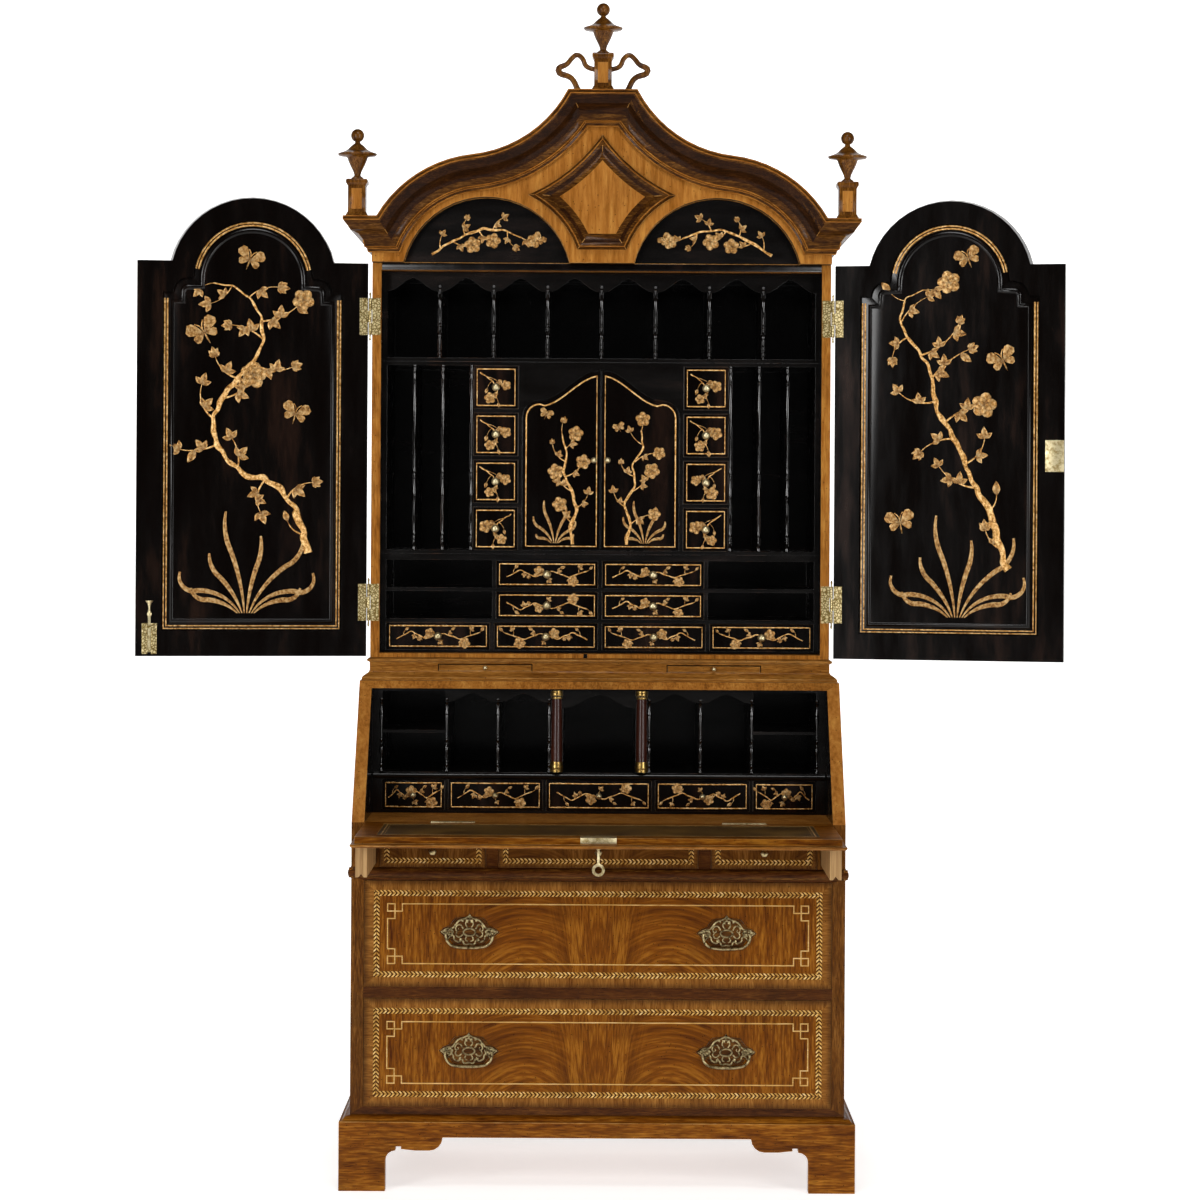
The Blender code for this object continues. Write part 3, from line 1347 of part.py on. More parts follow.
def scroll(hand, y, z):
    """An open S-scroll from the crest up to the pedestal's side; its knots are shares of its reach and rise."""
    knots = (
        (0.54, 0.05),
        (0.71, 0.34),
        (1.0, 0.55),
        (0.80, 0.74),
        (0.69, 0.92),
        (0.58, 1.0),
        (0.47, 0.90),
        (0.37, 0.66),
        (0.15, 0.55),
    )
    foot = z + SCROLL_RADIUS
    path = [(hand * SCROLL_REACH * u, y, foot + SCROLL_RISE * v) for u, v in knots]
    return tube(smooth_path(path, 2), SCROLL_RADIUS, 6, across=(0, 1, 0))


def build():
    clear_scene()
    make_base()
    make_lower_case()
    make_long_drawer("lower_long_drawer", LOWER_DRAWER_Z, LOWER_DRAWER_HEIGHT)
    make_long_drawer("upper_long_drawer", UPPER_DRAWER_Z, UPPER_DRAWER_HEIGHT)
    make_frieze_drawers()
    make_lopers()
    make_fall()
    make_desk_fitment()
    make_desk_drawers()
    make_cabinet_base()
    make_candle_slides()
    make_upper_case()
    make_pigeonhole_row()
    make_nest_case()
    make_lower_nest()
    make_cabinet_drawers()
    make_cupboard_doors()
    make_doors()
    make_hinges()
    make_bolt()
    make_hood()
    make_finials()


build()
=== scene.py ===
"""The looks of a double-dome writing bureau: walnut veneer, black and gilt lacquer, brass and leather."""

import json
import math
import random

import bpy
from mathutils import Matrix, Vector

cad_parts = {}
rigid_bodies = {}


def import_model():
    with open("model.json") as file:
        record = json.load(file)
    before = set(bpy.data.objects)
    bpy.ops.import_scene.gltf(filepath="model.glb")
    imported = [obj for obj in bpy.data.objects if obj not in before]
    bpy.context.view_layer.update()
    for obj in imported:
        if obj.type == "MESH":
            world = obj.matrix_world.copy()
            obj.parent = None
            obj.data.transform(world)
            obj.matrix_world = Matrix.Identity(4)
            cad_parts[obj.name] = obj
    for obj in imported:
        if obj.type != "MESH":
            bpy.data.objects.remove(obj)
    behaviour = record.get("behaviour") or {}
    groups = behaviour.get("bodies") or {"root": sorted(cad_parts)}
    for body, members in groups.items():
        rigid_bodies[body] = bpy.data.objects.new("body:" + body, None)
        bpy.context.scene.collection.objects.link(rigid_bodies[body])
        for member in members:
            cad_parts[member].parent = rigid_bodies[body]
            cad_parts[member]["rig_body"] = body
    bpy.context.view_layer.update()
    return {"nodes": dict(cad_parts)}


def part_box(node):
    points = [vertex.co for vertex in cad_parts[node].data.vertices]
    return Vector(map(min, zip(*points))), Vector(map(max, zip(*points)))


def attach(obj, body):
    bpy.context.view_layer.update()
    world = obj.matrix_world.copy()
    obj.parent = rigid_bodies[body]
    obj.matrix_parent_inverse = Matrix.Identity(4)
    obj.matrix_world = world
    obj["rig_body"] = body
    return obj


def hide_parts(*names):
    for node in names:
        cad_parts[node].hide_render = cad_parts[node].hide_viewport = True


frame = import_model()

# Places taken from the solids, in metres
WAIST_BEAD_OUT = 0.007
COLUMN_RADIUS = 0.0115
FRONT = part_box("lower_case")[0].y + WAIST_BEAD_OUT
CASE_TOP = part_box("lower_case")[1].z
UPPER_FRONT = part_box("upper_case")[0].y
UPPER_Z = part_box("upper_case")[0].z
FITMENT_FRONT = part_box("nest_case")[0].y
SEAT = 0.0003
WRITING_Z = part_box("desk_fitment")[0].z - SEAT
DESK_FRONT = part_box("desk_fitment")[0].y + COLUMN_RADIUS * 1.12
HOOD_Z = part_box("hood")[0].z
SPANDREL_OUT = 0.0272
SPANDREL_FRONT = UPPER_FRONT - SPANDREL_OUT
HINGE_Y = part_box("fall_front")[1].y
FALL_EDGE_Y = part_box("fall_front")[0].y

# Sizes that the solids share with their dressing
UPPER_INNER = 0.478
CASE_HALF = 0.519
CASE_INNER = 0.492
ARCH_X = 0.2495
ARCH_Z = HOOD_Z - 0.043
ARCH_RADIUS = 0.1848
LUNETTE_PROUD = 0.002
LOZENGE_FIELD = 0.0028
DOOR_HINGE_X = 0.5022
DOOR_HINGE_Y = UPPER_FRONT - 0.0016
DOOR_NEAR_EDGE = 0.0042
DOOR_WIDTH = 0.497
DOOR_TURNS = {"left": 8.0, "right": -13.0}
PANEL_MARGIN = 0.055
PANEL_FIELD = 0.028
PANEL_FIELD_BACK = 0.0032
DOOR_END_GAP = 0.002
PANEL_SHOULDER_DROP = 0.067
PANEL_BOTTOM = UPPER_Z + DOOR_END_GAP + PANEL_MARGIN
PANEL_STEP_Z = HOOD_Z - DOOR_END_GAP - PANEL_SHOULDER_DROP
PANEL_COVE = 0.032
CUPBOARD_HALF = 0.172
CUPBOARD_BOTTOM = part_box("cupboard_door_left")[0].z - 0.001
CUPBOARD_SIDE = 0.290
CUPBOARD_COVE = 0.038
CUPBOARD_RISE = 0.067
CUPBOARD_KNOB_X = 0.015
DESK_BOW = 0.006
DESK_GILDING_OUT = 0.0012
DESK_SHELF = 0.091
COLUMN_X = 0.092
SLIDE_KNOB = 0.014
FALL_HINGE_X = 0.306
FALL_HINGE_IN = 0.010
FALL_LOCK_IN = 0.027
FALL_LOCK_WIDTH = 0.073
DOOR_LOCK_Z = 1.550
BOLT_FROM_EDGE = 0.030
LOCK_FROM_EDGE = 0.021
LET_IN = 0.0001
HANDLE_X = 0.270
HANDLE_RISE = 0.004
PLATE_THICK = 0.002
POST_SPACING = 0.080
POST_LENGTH = 0.013
PEDESTAL_HALF = 0.019
PEDESTAL_HEIGHT = 0.080
FINIAL_HEIGHT = 0.109
FINIAL_DISC = 0.0415
CORNICE_BEAD = 0.0016
MM = 0.001


def linear(code):
    """An sRGB hex colour as linear RGBA."""
    values = [int(code[i : i + 2], 16) / 255 for i in (0, 2, 4)]
    return (*[v / 12.92 if v <= 0.04045 else ((v + 0.055) / 1.055) ** 2.4 for v in values], 1.0)


def feed(tree, node, inputs):
    """Links or sets a node's inputs."""
    for key, value in inputs.items():
        if isinstance(value, bpy.types.NodeSocket):
            tree.links.new(value, node.inputs[key])
        else:
            node.inputs[key].default_value = value


def add(tree, kind, inputs=None, out=0, stops=(), **settings):
    """Adds one shader node, with its settings, colour stops and inputs, and gives one output."""
    made = tree.nodes.new(f"ShaderNode{kind}")
    for key, value in settings.items():
        setattr(made, key, value)
    feed(tree, made, inputs or {})
    for number, (place, code) in enumerate(stops):
        points = made.color_ramp.elements
        point = points[number] if number < len(points) else points.new(place)
        point.position = place
        point.color = linear(code)
    return made.outputs[out]


def new_material(name):
    """A material, its tree, its shader and the socket of the object's own coordinates."""
    material = bpy.data.materials.new(name)
    material.use_nodes = True
    tree = material.node_tree
    place = add(tree, "TexCoord", out="Object")
    return material, tree, tree.nodes["Principled BSDF"], place


# Walnut veneer, sliced thin, glued down and waxed: soft streaks, short dark pores and a low sheen.
# Each finish gives its deep, middle and light wood and its pores.
WALNUT_SHADES = {
    "front": ("431C02", "733F08", "A46A1E", "240D01"),
    "pale": ("7E4A12", "A2682A", "BC843C", "502A0A"),
    "dark": ("201003", "482809", "7C5220", "120701"),
    "turned": ("2C1402", "60380C", "98662A", "160902"),
    # The darkest walnut is painted shade, for the undersides of the hood's mouldings and the gap round the
    # candle slides.
    "shadow": ("120802", "2C1607", "4A2A0E", "080301"),
    "case": ("66380C", "985F22", "B8803A", "301602"),
    "rail": ("5A3009", "82521D", "A87434", "2C1402"),
    "shaded": ("2C1303", "4A260A", "683E16", "160902"),
    "frieze": ("381A04", "5E360C", "865824", "1C0C02"),
    "worn": ("7A4E1E", "A27238", "C4985C", "50300E"),
    "box": ("A87C3C", "C8A05C", "E2C084", "8A5C24"),
}
# The turn that brings the grain along each axis
GRAIN_TURN = {"X": (0, 0, 0), "Y": (0, 0, math.pi / 2), "Z": (0, math.pi / 2, 0)}


def walnut_colour(tree, grain, shade, streak_mm=14.0):
    """Colour and pores of walnut whose grain runs along the x of the given vector, in metres."""
    deep, middle, light, pore = WALNUT_SHADES[shade]
    fine = 1000 / streak_mm
    long = add(tree, "Mapping", {"Vector": grain, "Scale": (fine / 9, fine, fine)})
    clouds = add(tree, "TexNoise", {"Vector": long, "Scale": 0.30, "Detail": 3.0, "Distortion": 1.2})
    streaks = add(tree, "TexNoise", {"Vector": long, "Scale": 1.0, "Detail": 7.0, "Distortion": 1.5})
    lines = add(tree, "TexNoise", {"Vector": long, "Scale": 4.0, "Detail": 4.0})
    soft = add(tree, "Mix", {0: 0.5, 2: clouds, 3: streaks}, data_type="FLOAT")
    figure = add(tree, "Mix", {0: 0.4, 2: soft, 3: lines}, data_type="FLOAT")
    wood = add(tree, "ValToRGB", {"Fac": figure}, stops=((0.36, deep), (0.50, middle), (0.65, light)))
    # Pores are 0.2 mm wide in life and drawn about 1 mm wide so that they show.
    pore_place = add(tree, "Mapping", {"Vector": grain, "Scale": (60.0, 1000.0, 1000.0)})
    pores = add(tree, "TexNoise", {"Vector": pore_place, "Scale": 1.0, "Detail": 2.0})
    mask = add(tree, "MapRange", {"Value": pores, "From Min": 0.57, "From Max": 0.72, "To Max": 0.65})
    return add(tree, "Mix", {0: mask, 6: wood, 7: linear(pore)}, 2, data_type="RGBA"), mask


def finish_wood(tree, shader, place, colour, pores, age=0.35, wax=0.12):
    """Wax sheen, pore relief, dark flecks about 12 mm apart and grime in soft patches."""
    patches = add(tree, "TexNoise", {"Vector": place, "Scale": 9.0, "Detail": 5.0, "Roughness": 0.6})
    grime = add(tree, "MapRange", {"Value": patches, "From Min": 0.50, "From Max": 0.75, "To Max": age})
    specks = add(tree, "TexVoronoi", {"Vector": place, "Scale": 85.0, "Randomness": 1.0})
    fleck = add(
        tree,
        "MapRange",
        {"Value": specks, "From Min": 0.07, "From Max": 0.13, "To Min": 0.75, "To Max": 0.0},
    )
    soiled = add(tree, "Math", {0: grime, 1: fleck}, operation="MAXIMUM")
    aged = add(tree, "Mix", {0: soiled, 6: colour, 7: linear("1C0C03")}, 2, data_type="RGBA")
    sheen = add(
        tree,
        "MapRange",
        {"Value": patches, "From Min": 0.3, "From Max": 0.7, "To Min": 0.36, "To Max": 0.50},
    )
    relief = add(tree, "Bump", {"Height": pores, "Strength": 0.15, "Distance": 0.0004}, invert=True)
    surface = {"Base Color": aged, "Roughness": sheen, "Normal": relief, "Specular IOR Level": 0.03}
    feed(tree, shader, surface | {"Coat Weight": wax, "Coat Roughness": 0.12})


def walnut(name, shade, along="X", streak_mm=14.0, age=0.35, wax=0.12):
    """Walnut of one of the shades, its grain along an axis."""
    material, tree, shader, place = new_material(f"walnut_{name}")
    grain = add(tree, "Mapping", {"Vector": place, "Rotation": GRAIN_TURN[along]})
    colour, pores = walnut_colour(tree, grain, shade, streak_mm)
    finish_wood(tree, shader, place, colour, pores, age, wax)
    return material


def inlaid_walnut(name, low, high, shade, band_mm, width_mm):
    """A drawer front: a book-matched flame figure, a crossbanded border and an inlaid wheat-ear band.

    low and high are the front's (x, z) corners. The band's middle lies band_mm in from the edge.
    """
    material, tree, shader, place = new_material(f"walnut_front_{name}")
    centre = [(a + b) / 2 for a, b in zip(low, high)]
    half = [(b - a) / 2 for a, b in zip(low, high)]
    moved = add(tree, "Mapping", {"Vector": place, "Location": (-centre[0], 0, -centre[1])})
    split = add(tree, "SeparateXYZ", {0: moved}).node
    across, depth, up = split.outputs
    fold = add(tree, "Math", {0: across}, operation="ABSOLUTE")
    rise = add(tree, "Math", {0: up}, operation="ABSOLUTE")
    side_in = add(tree, "Math", {0: half[0], 1: fold}, operation="SUBTRACT")
    top_in = add(tree, "Math", {0: half[1], 1: rise}, operation="SUBTRACT")
    edge = add(tree, "Math", {0: side_in, 1: top_in}, operation="MINIMUM")
    by_side = add(tree, "Math", {0: side_in, 1: top_in}, operation="LESS_THAN")

    # Cut from a fork of the tree: a plume fans out from a point about 400 mm below the drawer, arches
    # rise round a point 150 mm to each side, and towards the ends the grain runs straight up.
    lift = add(tree, "Math", {0: up, 1: 0.40}, operation="ADD")
    spread = add(tree, "Math", {0: fold, 1: lift}, operation="ARCTAN2")
    spread_run = add(tree, "Math", {0: spread, 1: 0.55}, operation="MULTIPLY")
    ray = add(tree, "CombineXYZ", {0: lift, 1: spread_run, 2: depth})
    plume, pores = walnut_colour(tree, ray, shade, 15.0)
    beside = add(tree, "Math", {0: fold, 1: 0.15}, operation="SUBTRACT")
    above = add(tree, "Math", {0: up, 1: 0.15}, operation="ADD")
    from_fork = add(tree, "CombineXYZ", {0: beside, 1: above})
    reach = add(tree, "VectorMath", {0: from_fork}, "Value", operation="LENGTH")
    swing = add(tree, "Math", {0: beside, 1: above}, operation="ARCTAN2")
    swing_run = add(tree, "Math", {0: swing, 1: 0.12}, operation="MULTIPLY")
    ring = add(tree, "CombineXYZ", {0: swing_run, 1: reach, 2: depth})
    arches, _ = walnut_colour(tree, ring, shade, 24.0)
    flat = add(tree, "CombineXYZ", {0: up, 1: fold, 2: depth})
    straight, _ = walnut_colour(tree, flat, shade, 13.0)
    field = plume
    for figure, near, far in ((arches, 0.04, 0.12), (straight, 0.21, 0.31)):
        outward = add(
            tree,
            "MapRange",
            {"Value": fold, "From Min": near, "From Max": far},
            interpolation_type="SMOOTHSTEP",
        )
        field = add(tree, "Mix", {0: outward, 6: field, 7: figure}, 2, data_type="RGBA")

    upright = add(tree, "Mapping", {"Vector": moved, "Rotation": (0, math.pi / 2, 0)})
    grain = add(tree, "Mix", {0: by_side, 4: upright, 5: moved}, 1, data_type="VECTOR")
    border, _ = walnut_colour(tree, grain, "rail", 9.0)
    band = band_mm * MM
    in_field = add(tree, "Math", {0: edge, 1: band}, operation="GREATER_THAN")
    framed = add(tree, "Mix", {0: in_field, 6: border, 7: field}, 2, data_type="RGBA")

    # The wheat ears are slanted slips in two rows on a dark ground, one every 8.4 mm.
    run = add(tree, "Mix", {0: by_side, 2: across, 3: up}, data_type="FLOAT")
    off = add(tree, "Math", {0: edge, 1: band}, operation="SUBTRACT")
    lean = add(tree, "Math", {0: off}, operation="ABSOLUTE")
    slant = add(tree, "Math", {0: run, 1: lean}, operation="ADD")
    slips = add(tree, "Math", {0: slant, 1: 2 * math.pi / (8.4 * MM)}, operation="MULTIPLY")
    wave = add(tree, "Math", {0: slips}, operation="SINE")
    ear = add(tree, "MapRange", {"Value": wave, "From Min": -0.15, "From Max": 0.25})
    in_band = add(tree, "Math", {0: lean, 1: width_mm * MM / 2}, operation="LESS_THAN")
    off_rib = add(tree, "Math", {0: lean, 1: 0.45 * MM}, operation="GREATER_THAN")
    ground = add(tree, "Math", {0: in_band, 1: 0.80}, operation="MULTIPLY")
    sunk = add(tree, "Mix", {0: ground, 6: framed, 7: linear("381B06")}, 2, data_type="RGBA")
    pale = add(tree, "Math", {0: ear, 1: in_band}, operation="MULTIPLY")
    slip = add(tree, "Math", {0: pale, 1: off_rib}, operation="MULTIPLY")
    tint = add(tree, "TexNoise", {"Vector": place, "Scale": 130.0, "Detail": 2.0})
    box_wood = add(
        tree, "ValToRGB", {"Fac": tint}, stops=((0.36, "A87830"), (0.56, "DDB060"), (0.7, "ECCB8A"))
    )
    inlaid = add(tree, "Mix", {0: slip, 6: sunk, 7: box_wood}, 2, data_type="RGBA")

    # Painted shade, as in the seams round the drawer, together with polish and dirt, darkens the last 15
    # mm.
    edge_dirt_and_painted_shade = add(
        tree,
        "MapRange",
        {"Value": edge, "From Min": 0.0, "From Max": 15 * MM, "To Min": 0.62, "To Max": 0.0},
        interpolation_type="SMOOTHSTEP",
    )
    colour = add(tree, "Mix", {0: edge_dirt_and_painted_shade, 6: inlaid, 7: linear("2A1204")}, 2, data_type="RGBA")
    finish_wood(tree, shader, place, colour, pores, age=0.30)
    return material


def black_lacquer(name, rough=0.16, brown="1E0E05", along="Z", black="060403", shine=0.45):
    """Japanned lacquer, black over a brown ground, rubbed to a gloss: brown shows where it has thinned."""
    material, tree, shader, place = new_material(f"japanned_lacquer_{name}")
    stretch = {"X": (3.0, 16.0, 16.0), "Z": (16.0, 16.0, 3.0)}[along]
    brushed = add(tree, "Mapping", {"Vector": place, "Scale": stretch})
    worn = add(tree, "TexNoise", {"Vector": brushed, "Scale": 1.0, "Detail": 8.0, "Roughness": 0.65})
    colour = add(tree, "ValToRGB", {"Fac": worn}, stops=((0.54, black), (0.84, brown)))
    gloss = add(
        tree,
        "MapRange",
        {"Value": worn, "From Min": 0.35, "From Max": 0.75, "To Min": rough, "To Max": rough + 0.16},
    )
    ripple = add(tree, "TexNoise", {"Vector": place, "Scale": 45.0, "Detail": 2.0})
    relief = add(tree, "Bump", {"Height": ripple, "Strength": 0.05, "Distance": 0.001})
    surface = {"Base Color": colour, "Roughness": gloss, "Normal": relief}
    feed(tree, shader, surface | {"Specular IOR Level": shine})
    return material


def gilding():
    """Gold leaf on raised paste: warm, soft metal, rubbed thin, with brown ink lines and painted shade at
    the roots of leaves and petals.
    """
    material, tree, shader, place = new_material("gold_leaf")
    rubbed = add(tree, "TexNoise", {"Vector": place, "Scale": 160.0, "Detail": 5.0, "Roughness": 0.7})
    colour = add(
        tree, "ValToRGB", {"Fac": rubbed}, stops=((0.34, "5A3210"), (0.46, "C48A3C"), (0.62, "FFD694"))
    )
    ink_and_shade = add(tree, "Attribute", out="Fac", attribute_name="ink_and_shade")
    inked_and_shaded = add(tree, "Mix", {0: ink_and_shade, 6: colour, 7: linear("2A1406")}, 2, data_type="RGBA")
    relief = add(tree, "Bump", {"Height": rubbed, "Strength": 0.55, "Distance": 0.0010})
    surface = {"Base Color": inked_and_shaded, "Normal": relief, "Metallic": 0.45, "Roughness": 0.40}
    feed(tree, shader, surface)
    return material


def brass(name, bright, dull, rough, engraved_mm=0.0):
    """Cast and filed brass: bright where hands rub it, brown in its hollows and engraved lines."""
    material, tree, shader, place = new_material(f"brass_{name}")
    tarnish = add(tree, "TexNoise", {"Vector": place, "Scale": 120.0, "Detail": 6.0, "Roughness": 0.6})
    if engraved_mm:
        cut = add(
            tree, "TexVoronoi", {"Vector": place, "Scale": 1000 / engraved_mm}, feature="DISTANCE_TO_EDGE"
        )
        tarnish = add(tree, "MapRange", {"Value": cut, "From Max": 0.22, "To Min": 0.25, "To Max": 0.62})
        relief = add(tree, "Bump", {"Height": cut, "Strength": 0.5, "Distance": 0.0006})
        feed(tree, shader, {"Normal": relief})
    colour = add(tree, "ValToRGB", {"Fac": tarnish}, stops=((0.36, dull), (0.56, bright)))
    wear = add(
        tree,
        "MapRange",
        {"Value": tarnish, "From Min": 0.3, "From Max": 0.7, "To Min": rough + 0.15, "To Max": rough},
    )
    feed(tree, shader, {"Base Color": colour, "Roughness": wear, "Metallic": 1.0})
    return material


def pale_wood(name, light, dark, along="Y"):
    """Planed oak and pine, left bare inside: straight grain, dry and dull."""
    material, tree, shader, place = new_material(f"planed_oak_{name}")
    grain = add(tree, "Mapping", {"Vector": place, "Rotation": GRAIN_TURN[along]})
    long = add(tree, "Mapping", {"Vector": grain, "Scale": (6.0, 160.0, 160.0)})
    lines = add(tree, "TexNoise", {"Vector": long, "Scale": 1.0, "Detail": 5.0, "Distortion": 0.6})
    colour = add(tree, "ValToRGB", {"Fac": lines}, stops=((0.35, dark), (0.62, light)))
    relief = add(tree, "Bump", {"Height": lines, "Strength": 0.2, "Distance": 0.0005})
    feed(tree, shader, {"Base Color": colour, "Normal": relief, "Roughness": 0.62})
    return material


def hide_leather():
    """Tanned hide, dyed olive brown and polished by use: fine pebbled grain about 1.5 mm across."""
    material, tree, shader, place = new_material("olive_hide")
    grain = add(tree, "TexVoronoi", {"Vector": place, "Scale": 650.0})
    clouds = add(tree, "TexNoise", {"Vector": place, "Scale": 12.0, "Detail": 6.0})
    colour = add(
        tree, "ValToRGB", {"Fac": clouds}, stops=((0.35, "382407"), (0.52, "50370E"), (0.68, "6A4B1A"))
    )
    relief = add(tree, "Bump", {"Height": grain, "Strength": 0.25, "Distance": 0.0004})
    feed(tree, shader, {"Base Color": colour, "Normal": relief, "Roughness": 0.40})
    return material


def glowing_studio_paper():
    """Seamless white paper that glows by itself, a painted light, so that it clips to white behind the
    bureau.
    """
    material, tree, shader, place = new_material("glowing_studio_paper")
    tooth = add(tree, "TexNoise", {"Vector": place, "Scale": 400.0, "Detail": 2.0})
    relief = add(tree, "Bump", {"Height": tooth, "Strength": 0.02, "Distance": 0.001})
    feed(tree, shader, {"Base Color": linear("F4F3F1"), "Normal": relief, "Roughness": 0.9})
    # The glow is weaker below the bureau, a painted shadow, and fades out towards the camera.
    split = add(tree, "SeparateXYZ", {0: place}).node
    across = add(tree, "Math", {0: split.outputs[0]}, operation="ABSOLUTE")
    beside, behind, near = (
        add(tree, "MapRange", {"Value": way, "From Min": dim, "From Max": lit, "To Min": least})
        for way, dim, lit, least in (
            (across, 0.5, 1.0, 0.62),
            (split.outputs[1], 0.5, 1.3, 0.62),
            (split.outputs[1], -2.0, -0.7, 0.1),
        )
    )
    glow_with_painted_shadow = add(tree, "Math", {0: beside, 1: behind}, operation="MAXIMUM")
    painted_glow = add(tree, "Math", {0: glow_with_painted_shadow, 1: near}, operation="MULTIPLY")
    feed(tree, shader, {"Emission Strength": painted_glow, "Emission Color": (1, 1, 1, 1)})
    return material


CASE_WALNUT = walnut("case", "case", "Z")
RAIL_WALNUT = walnut("rails", "rail", "X", 8.0)
# A darker copy of the rails' walnut, a painted shade, for the front rails between the drawers.
SHADED_RAIL = walnut("shaded_rails", "shaded", "X", 8.0, 0.5)
STILE_WALNUT = walnut("stiles", "frieze", "Z", 8.0, 0.5)
BASE_WALNUT = walnut("base", "front", "X")
PALE_WALNUT = walnut("spandrel", "pale", "Z", 26.0, 0.2)
MOULDED_WALNUT = walnut("mouldings", "dark", "X", 6.0, 0.5)
TURNED_WALNUT = walnut("turnings", "turned", "Z", 7.0, 0.4, wax=0.35)
# Lighter walnut for the hood's arris beads, a painted highlight.
BEAD_HIGHLIGHT_WALNUT = walnut("beads", "case", "X", 8.0, 0.5)
SHADOW_WALNUT = walnut("painted_shadows", "shadow", "X", 6.0, 0.5)
FALL_WALNUT = walnut("fall", "front", "X")
# Lighter walnut on the eased edges: rubbed wear and painted highlight.
WORN_AND_HIGHLIT_WALNUT = walnut("worn_and_highlit_edges", "worn", "X", 6.0, 0.5)
# Painted shade: the dark ground seen through the handles' pierced plates.
SHADED_GROUND = walnut("shade_under_plates", "dark", "X", 6.0, 0.6)
LACQUER = black_lacquer("case", along="X")
DOOR_LACQUER = black_lacquer("doors", 0.14, "2A1406", black="050201", shine=0.30)
# Brown on the lacquer's eased edges: rubbed wear and painted highlight.
WORN_AND_HIGHLIT_LACQUER = black_lacquer("worn_and_highlit_edges", 0.20, "5A3312")
TURNED_LACQUER = black_lacquer("turnings", 0.05, shine=0.8)
COLUMN_RED = black_lacquer("columns", 0.18, "6A2E10", black="34140A")
GOLD = gilding()
BRASS = brass("antique", "B89858", "5A421C", 0.26)
BRONZE = brass("bronzed", "B8A87C", "3A2C16", 0.30)
PALE_BRASS = brass("polished", "E0D2A8", "A08A58", 0.36)
ENGRAVED_BRASS = brass("engraved", "D8C898", "75602F", 0.36, 6.0)
BOX_STRING = walnut("box_stringing", "box", "X", 9.0, 0.1)
OAK = pale_wood("linings", "A98350", "7A5426")
LOPER_OAK = pale_wood("lopers", "B48E5A", "86602F", "Z")
HIDE = hide_leather()


# Working on pieces


def select_only(piece):
    """Leaves one piece selected and active."""
    bpy.ops.object.select_all(action="DESELECT")
    piece.select_set(True)
    bpy.context.view_layer.objects.active = piece


def pick(piece, test):
    """Opens a piece for editing with only the vertices that pass the test selected."""
    select_only(piece)
    bpy.ops.object.mode_set(mode="EDIT")
    bpy.ops.mesh.select_mode(type="VERT")
    bpy.ops.mesh.select_all(action="DESELECT")
    bpy.ops.object.mode_set(mode="OBJECT")
    for vertex in piece.data.vertices:
        vertex.select = test(vertex.co)
    bpy.ops.object.mode_set(mode="EDIT")


def apply_modifier(piece, kind, **settings):
    """Adds a modifier with its settings and applies it."""
    select_only(piece)
    made = piece.modifiers.new(kind, kind)
    for key, value in settings.items():
        setattr(made, key, value)
    bpy.ops.object.modifier_apply(modifier=made.name)


def seat(piece, body, replaces=None):
    """Hands a finished piece to the body that carries it."""
    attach(piece, body)
    if replaces:
        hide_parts(replaces)
    return piece


def body_of(node):
    """The body that carries a solid."""
    return frame["nodes"][node]["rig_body"]


def middle_at(node, y):
    """The middle of a solid's front, at depth y."""
    low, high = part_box(node)
    return (low.x + high.x) / 2, y, (low.z + high.z) / 2


def stamp(pattern, place):
    """A copy of a pattern piece, with its own mesh, at a place."""
    piece = bpy.data.objects.new(pattern.name, pattern.data.copy())
    piece.data.transform(place)
    bpy.context.scene.collection.objects.link(piece)
    return piece


def join(name, pieces):
    """Makes one piece of several."""
    bpy.ops.object.select_all(action="DESELECT")
    for piece in pieces:
        piece.select_set(True)
    bpy.context.view_layer.objects.active = pieces[0]
    bpy.ops.object.join()
    pieces[0].name = name
    return pieces[0]


def cover(piece, finish, angle=40):
    """One finish all over, smooth but for edges sharper than the angle."""
    piece.data.materials.clear()
    piece.data.materials.append(finish)
    select_only(piece)
    bpy.ops.object.shade_smooth_by_angle(angle=math.radians(angle))
    return piece


def turn_profile(name, profile, steps=24):
    """Spins a (radius, height) profile round the z axis; it starts and ends on the axis."""
    bpy.ops.object.select_all(action="DESELECT")
    bpy.ops.mesh.primitive_plane_add(size=0.001)
    piece = bpy.context.object
    piece.name = name
    bpy.ops.object.mode_set(mode="EDIT")
    bpy.ops.mesh.select_mode(type="VERT")
    bpy.ops.mesh.select_all(action="SELECT")
    bpy.ops.mesh.merge(type="CENTER")
    bpy.ops.transform.translate(value=(profile[0][0], 0, profile[0][1]))
    for (near, low), (far, high) in zip(profile, profile[1:]):
        bpy.ops.mesh.extrude_region_move(TRANSFORM_OT_translate={"value": (far - near, 0, high - low)})
    bpy.ops.mesh.select_all(action="SELECT")
    bpy.ops.mesh.spin(steps=steps, angle=2 * math.pi, center=(0, 0, 0), axis=(0, 0, 1))
    bpy.ops.mesh.select_all(action="SELECT")
    bpy.ops.mesh.remove_doubles(threshold=0.000002)
    bpy.ops.mesh.normals_make_consistent(inside=False)
    bpy.ops.object.mode_set(mode="OBJECT")
    return piece


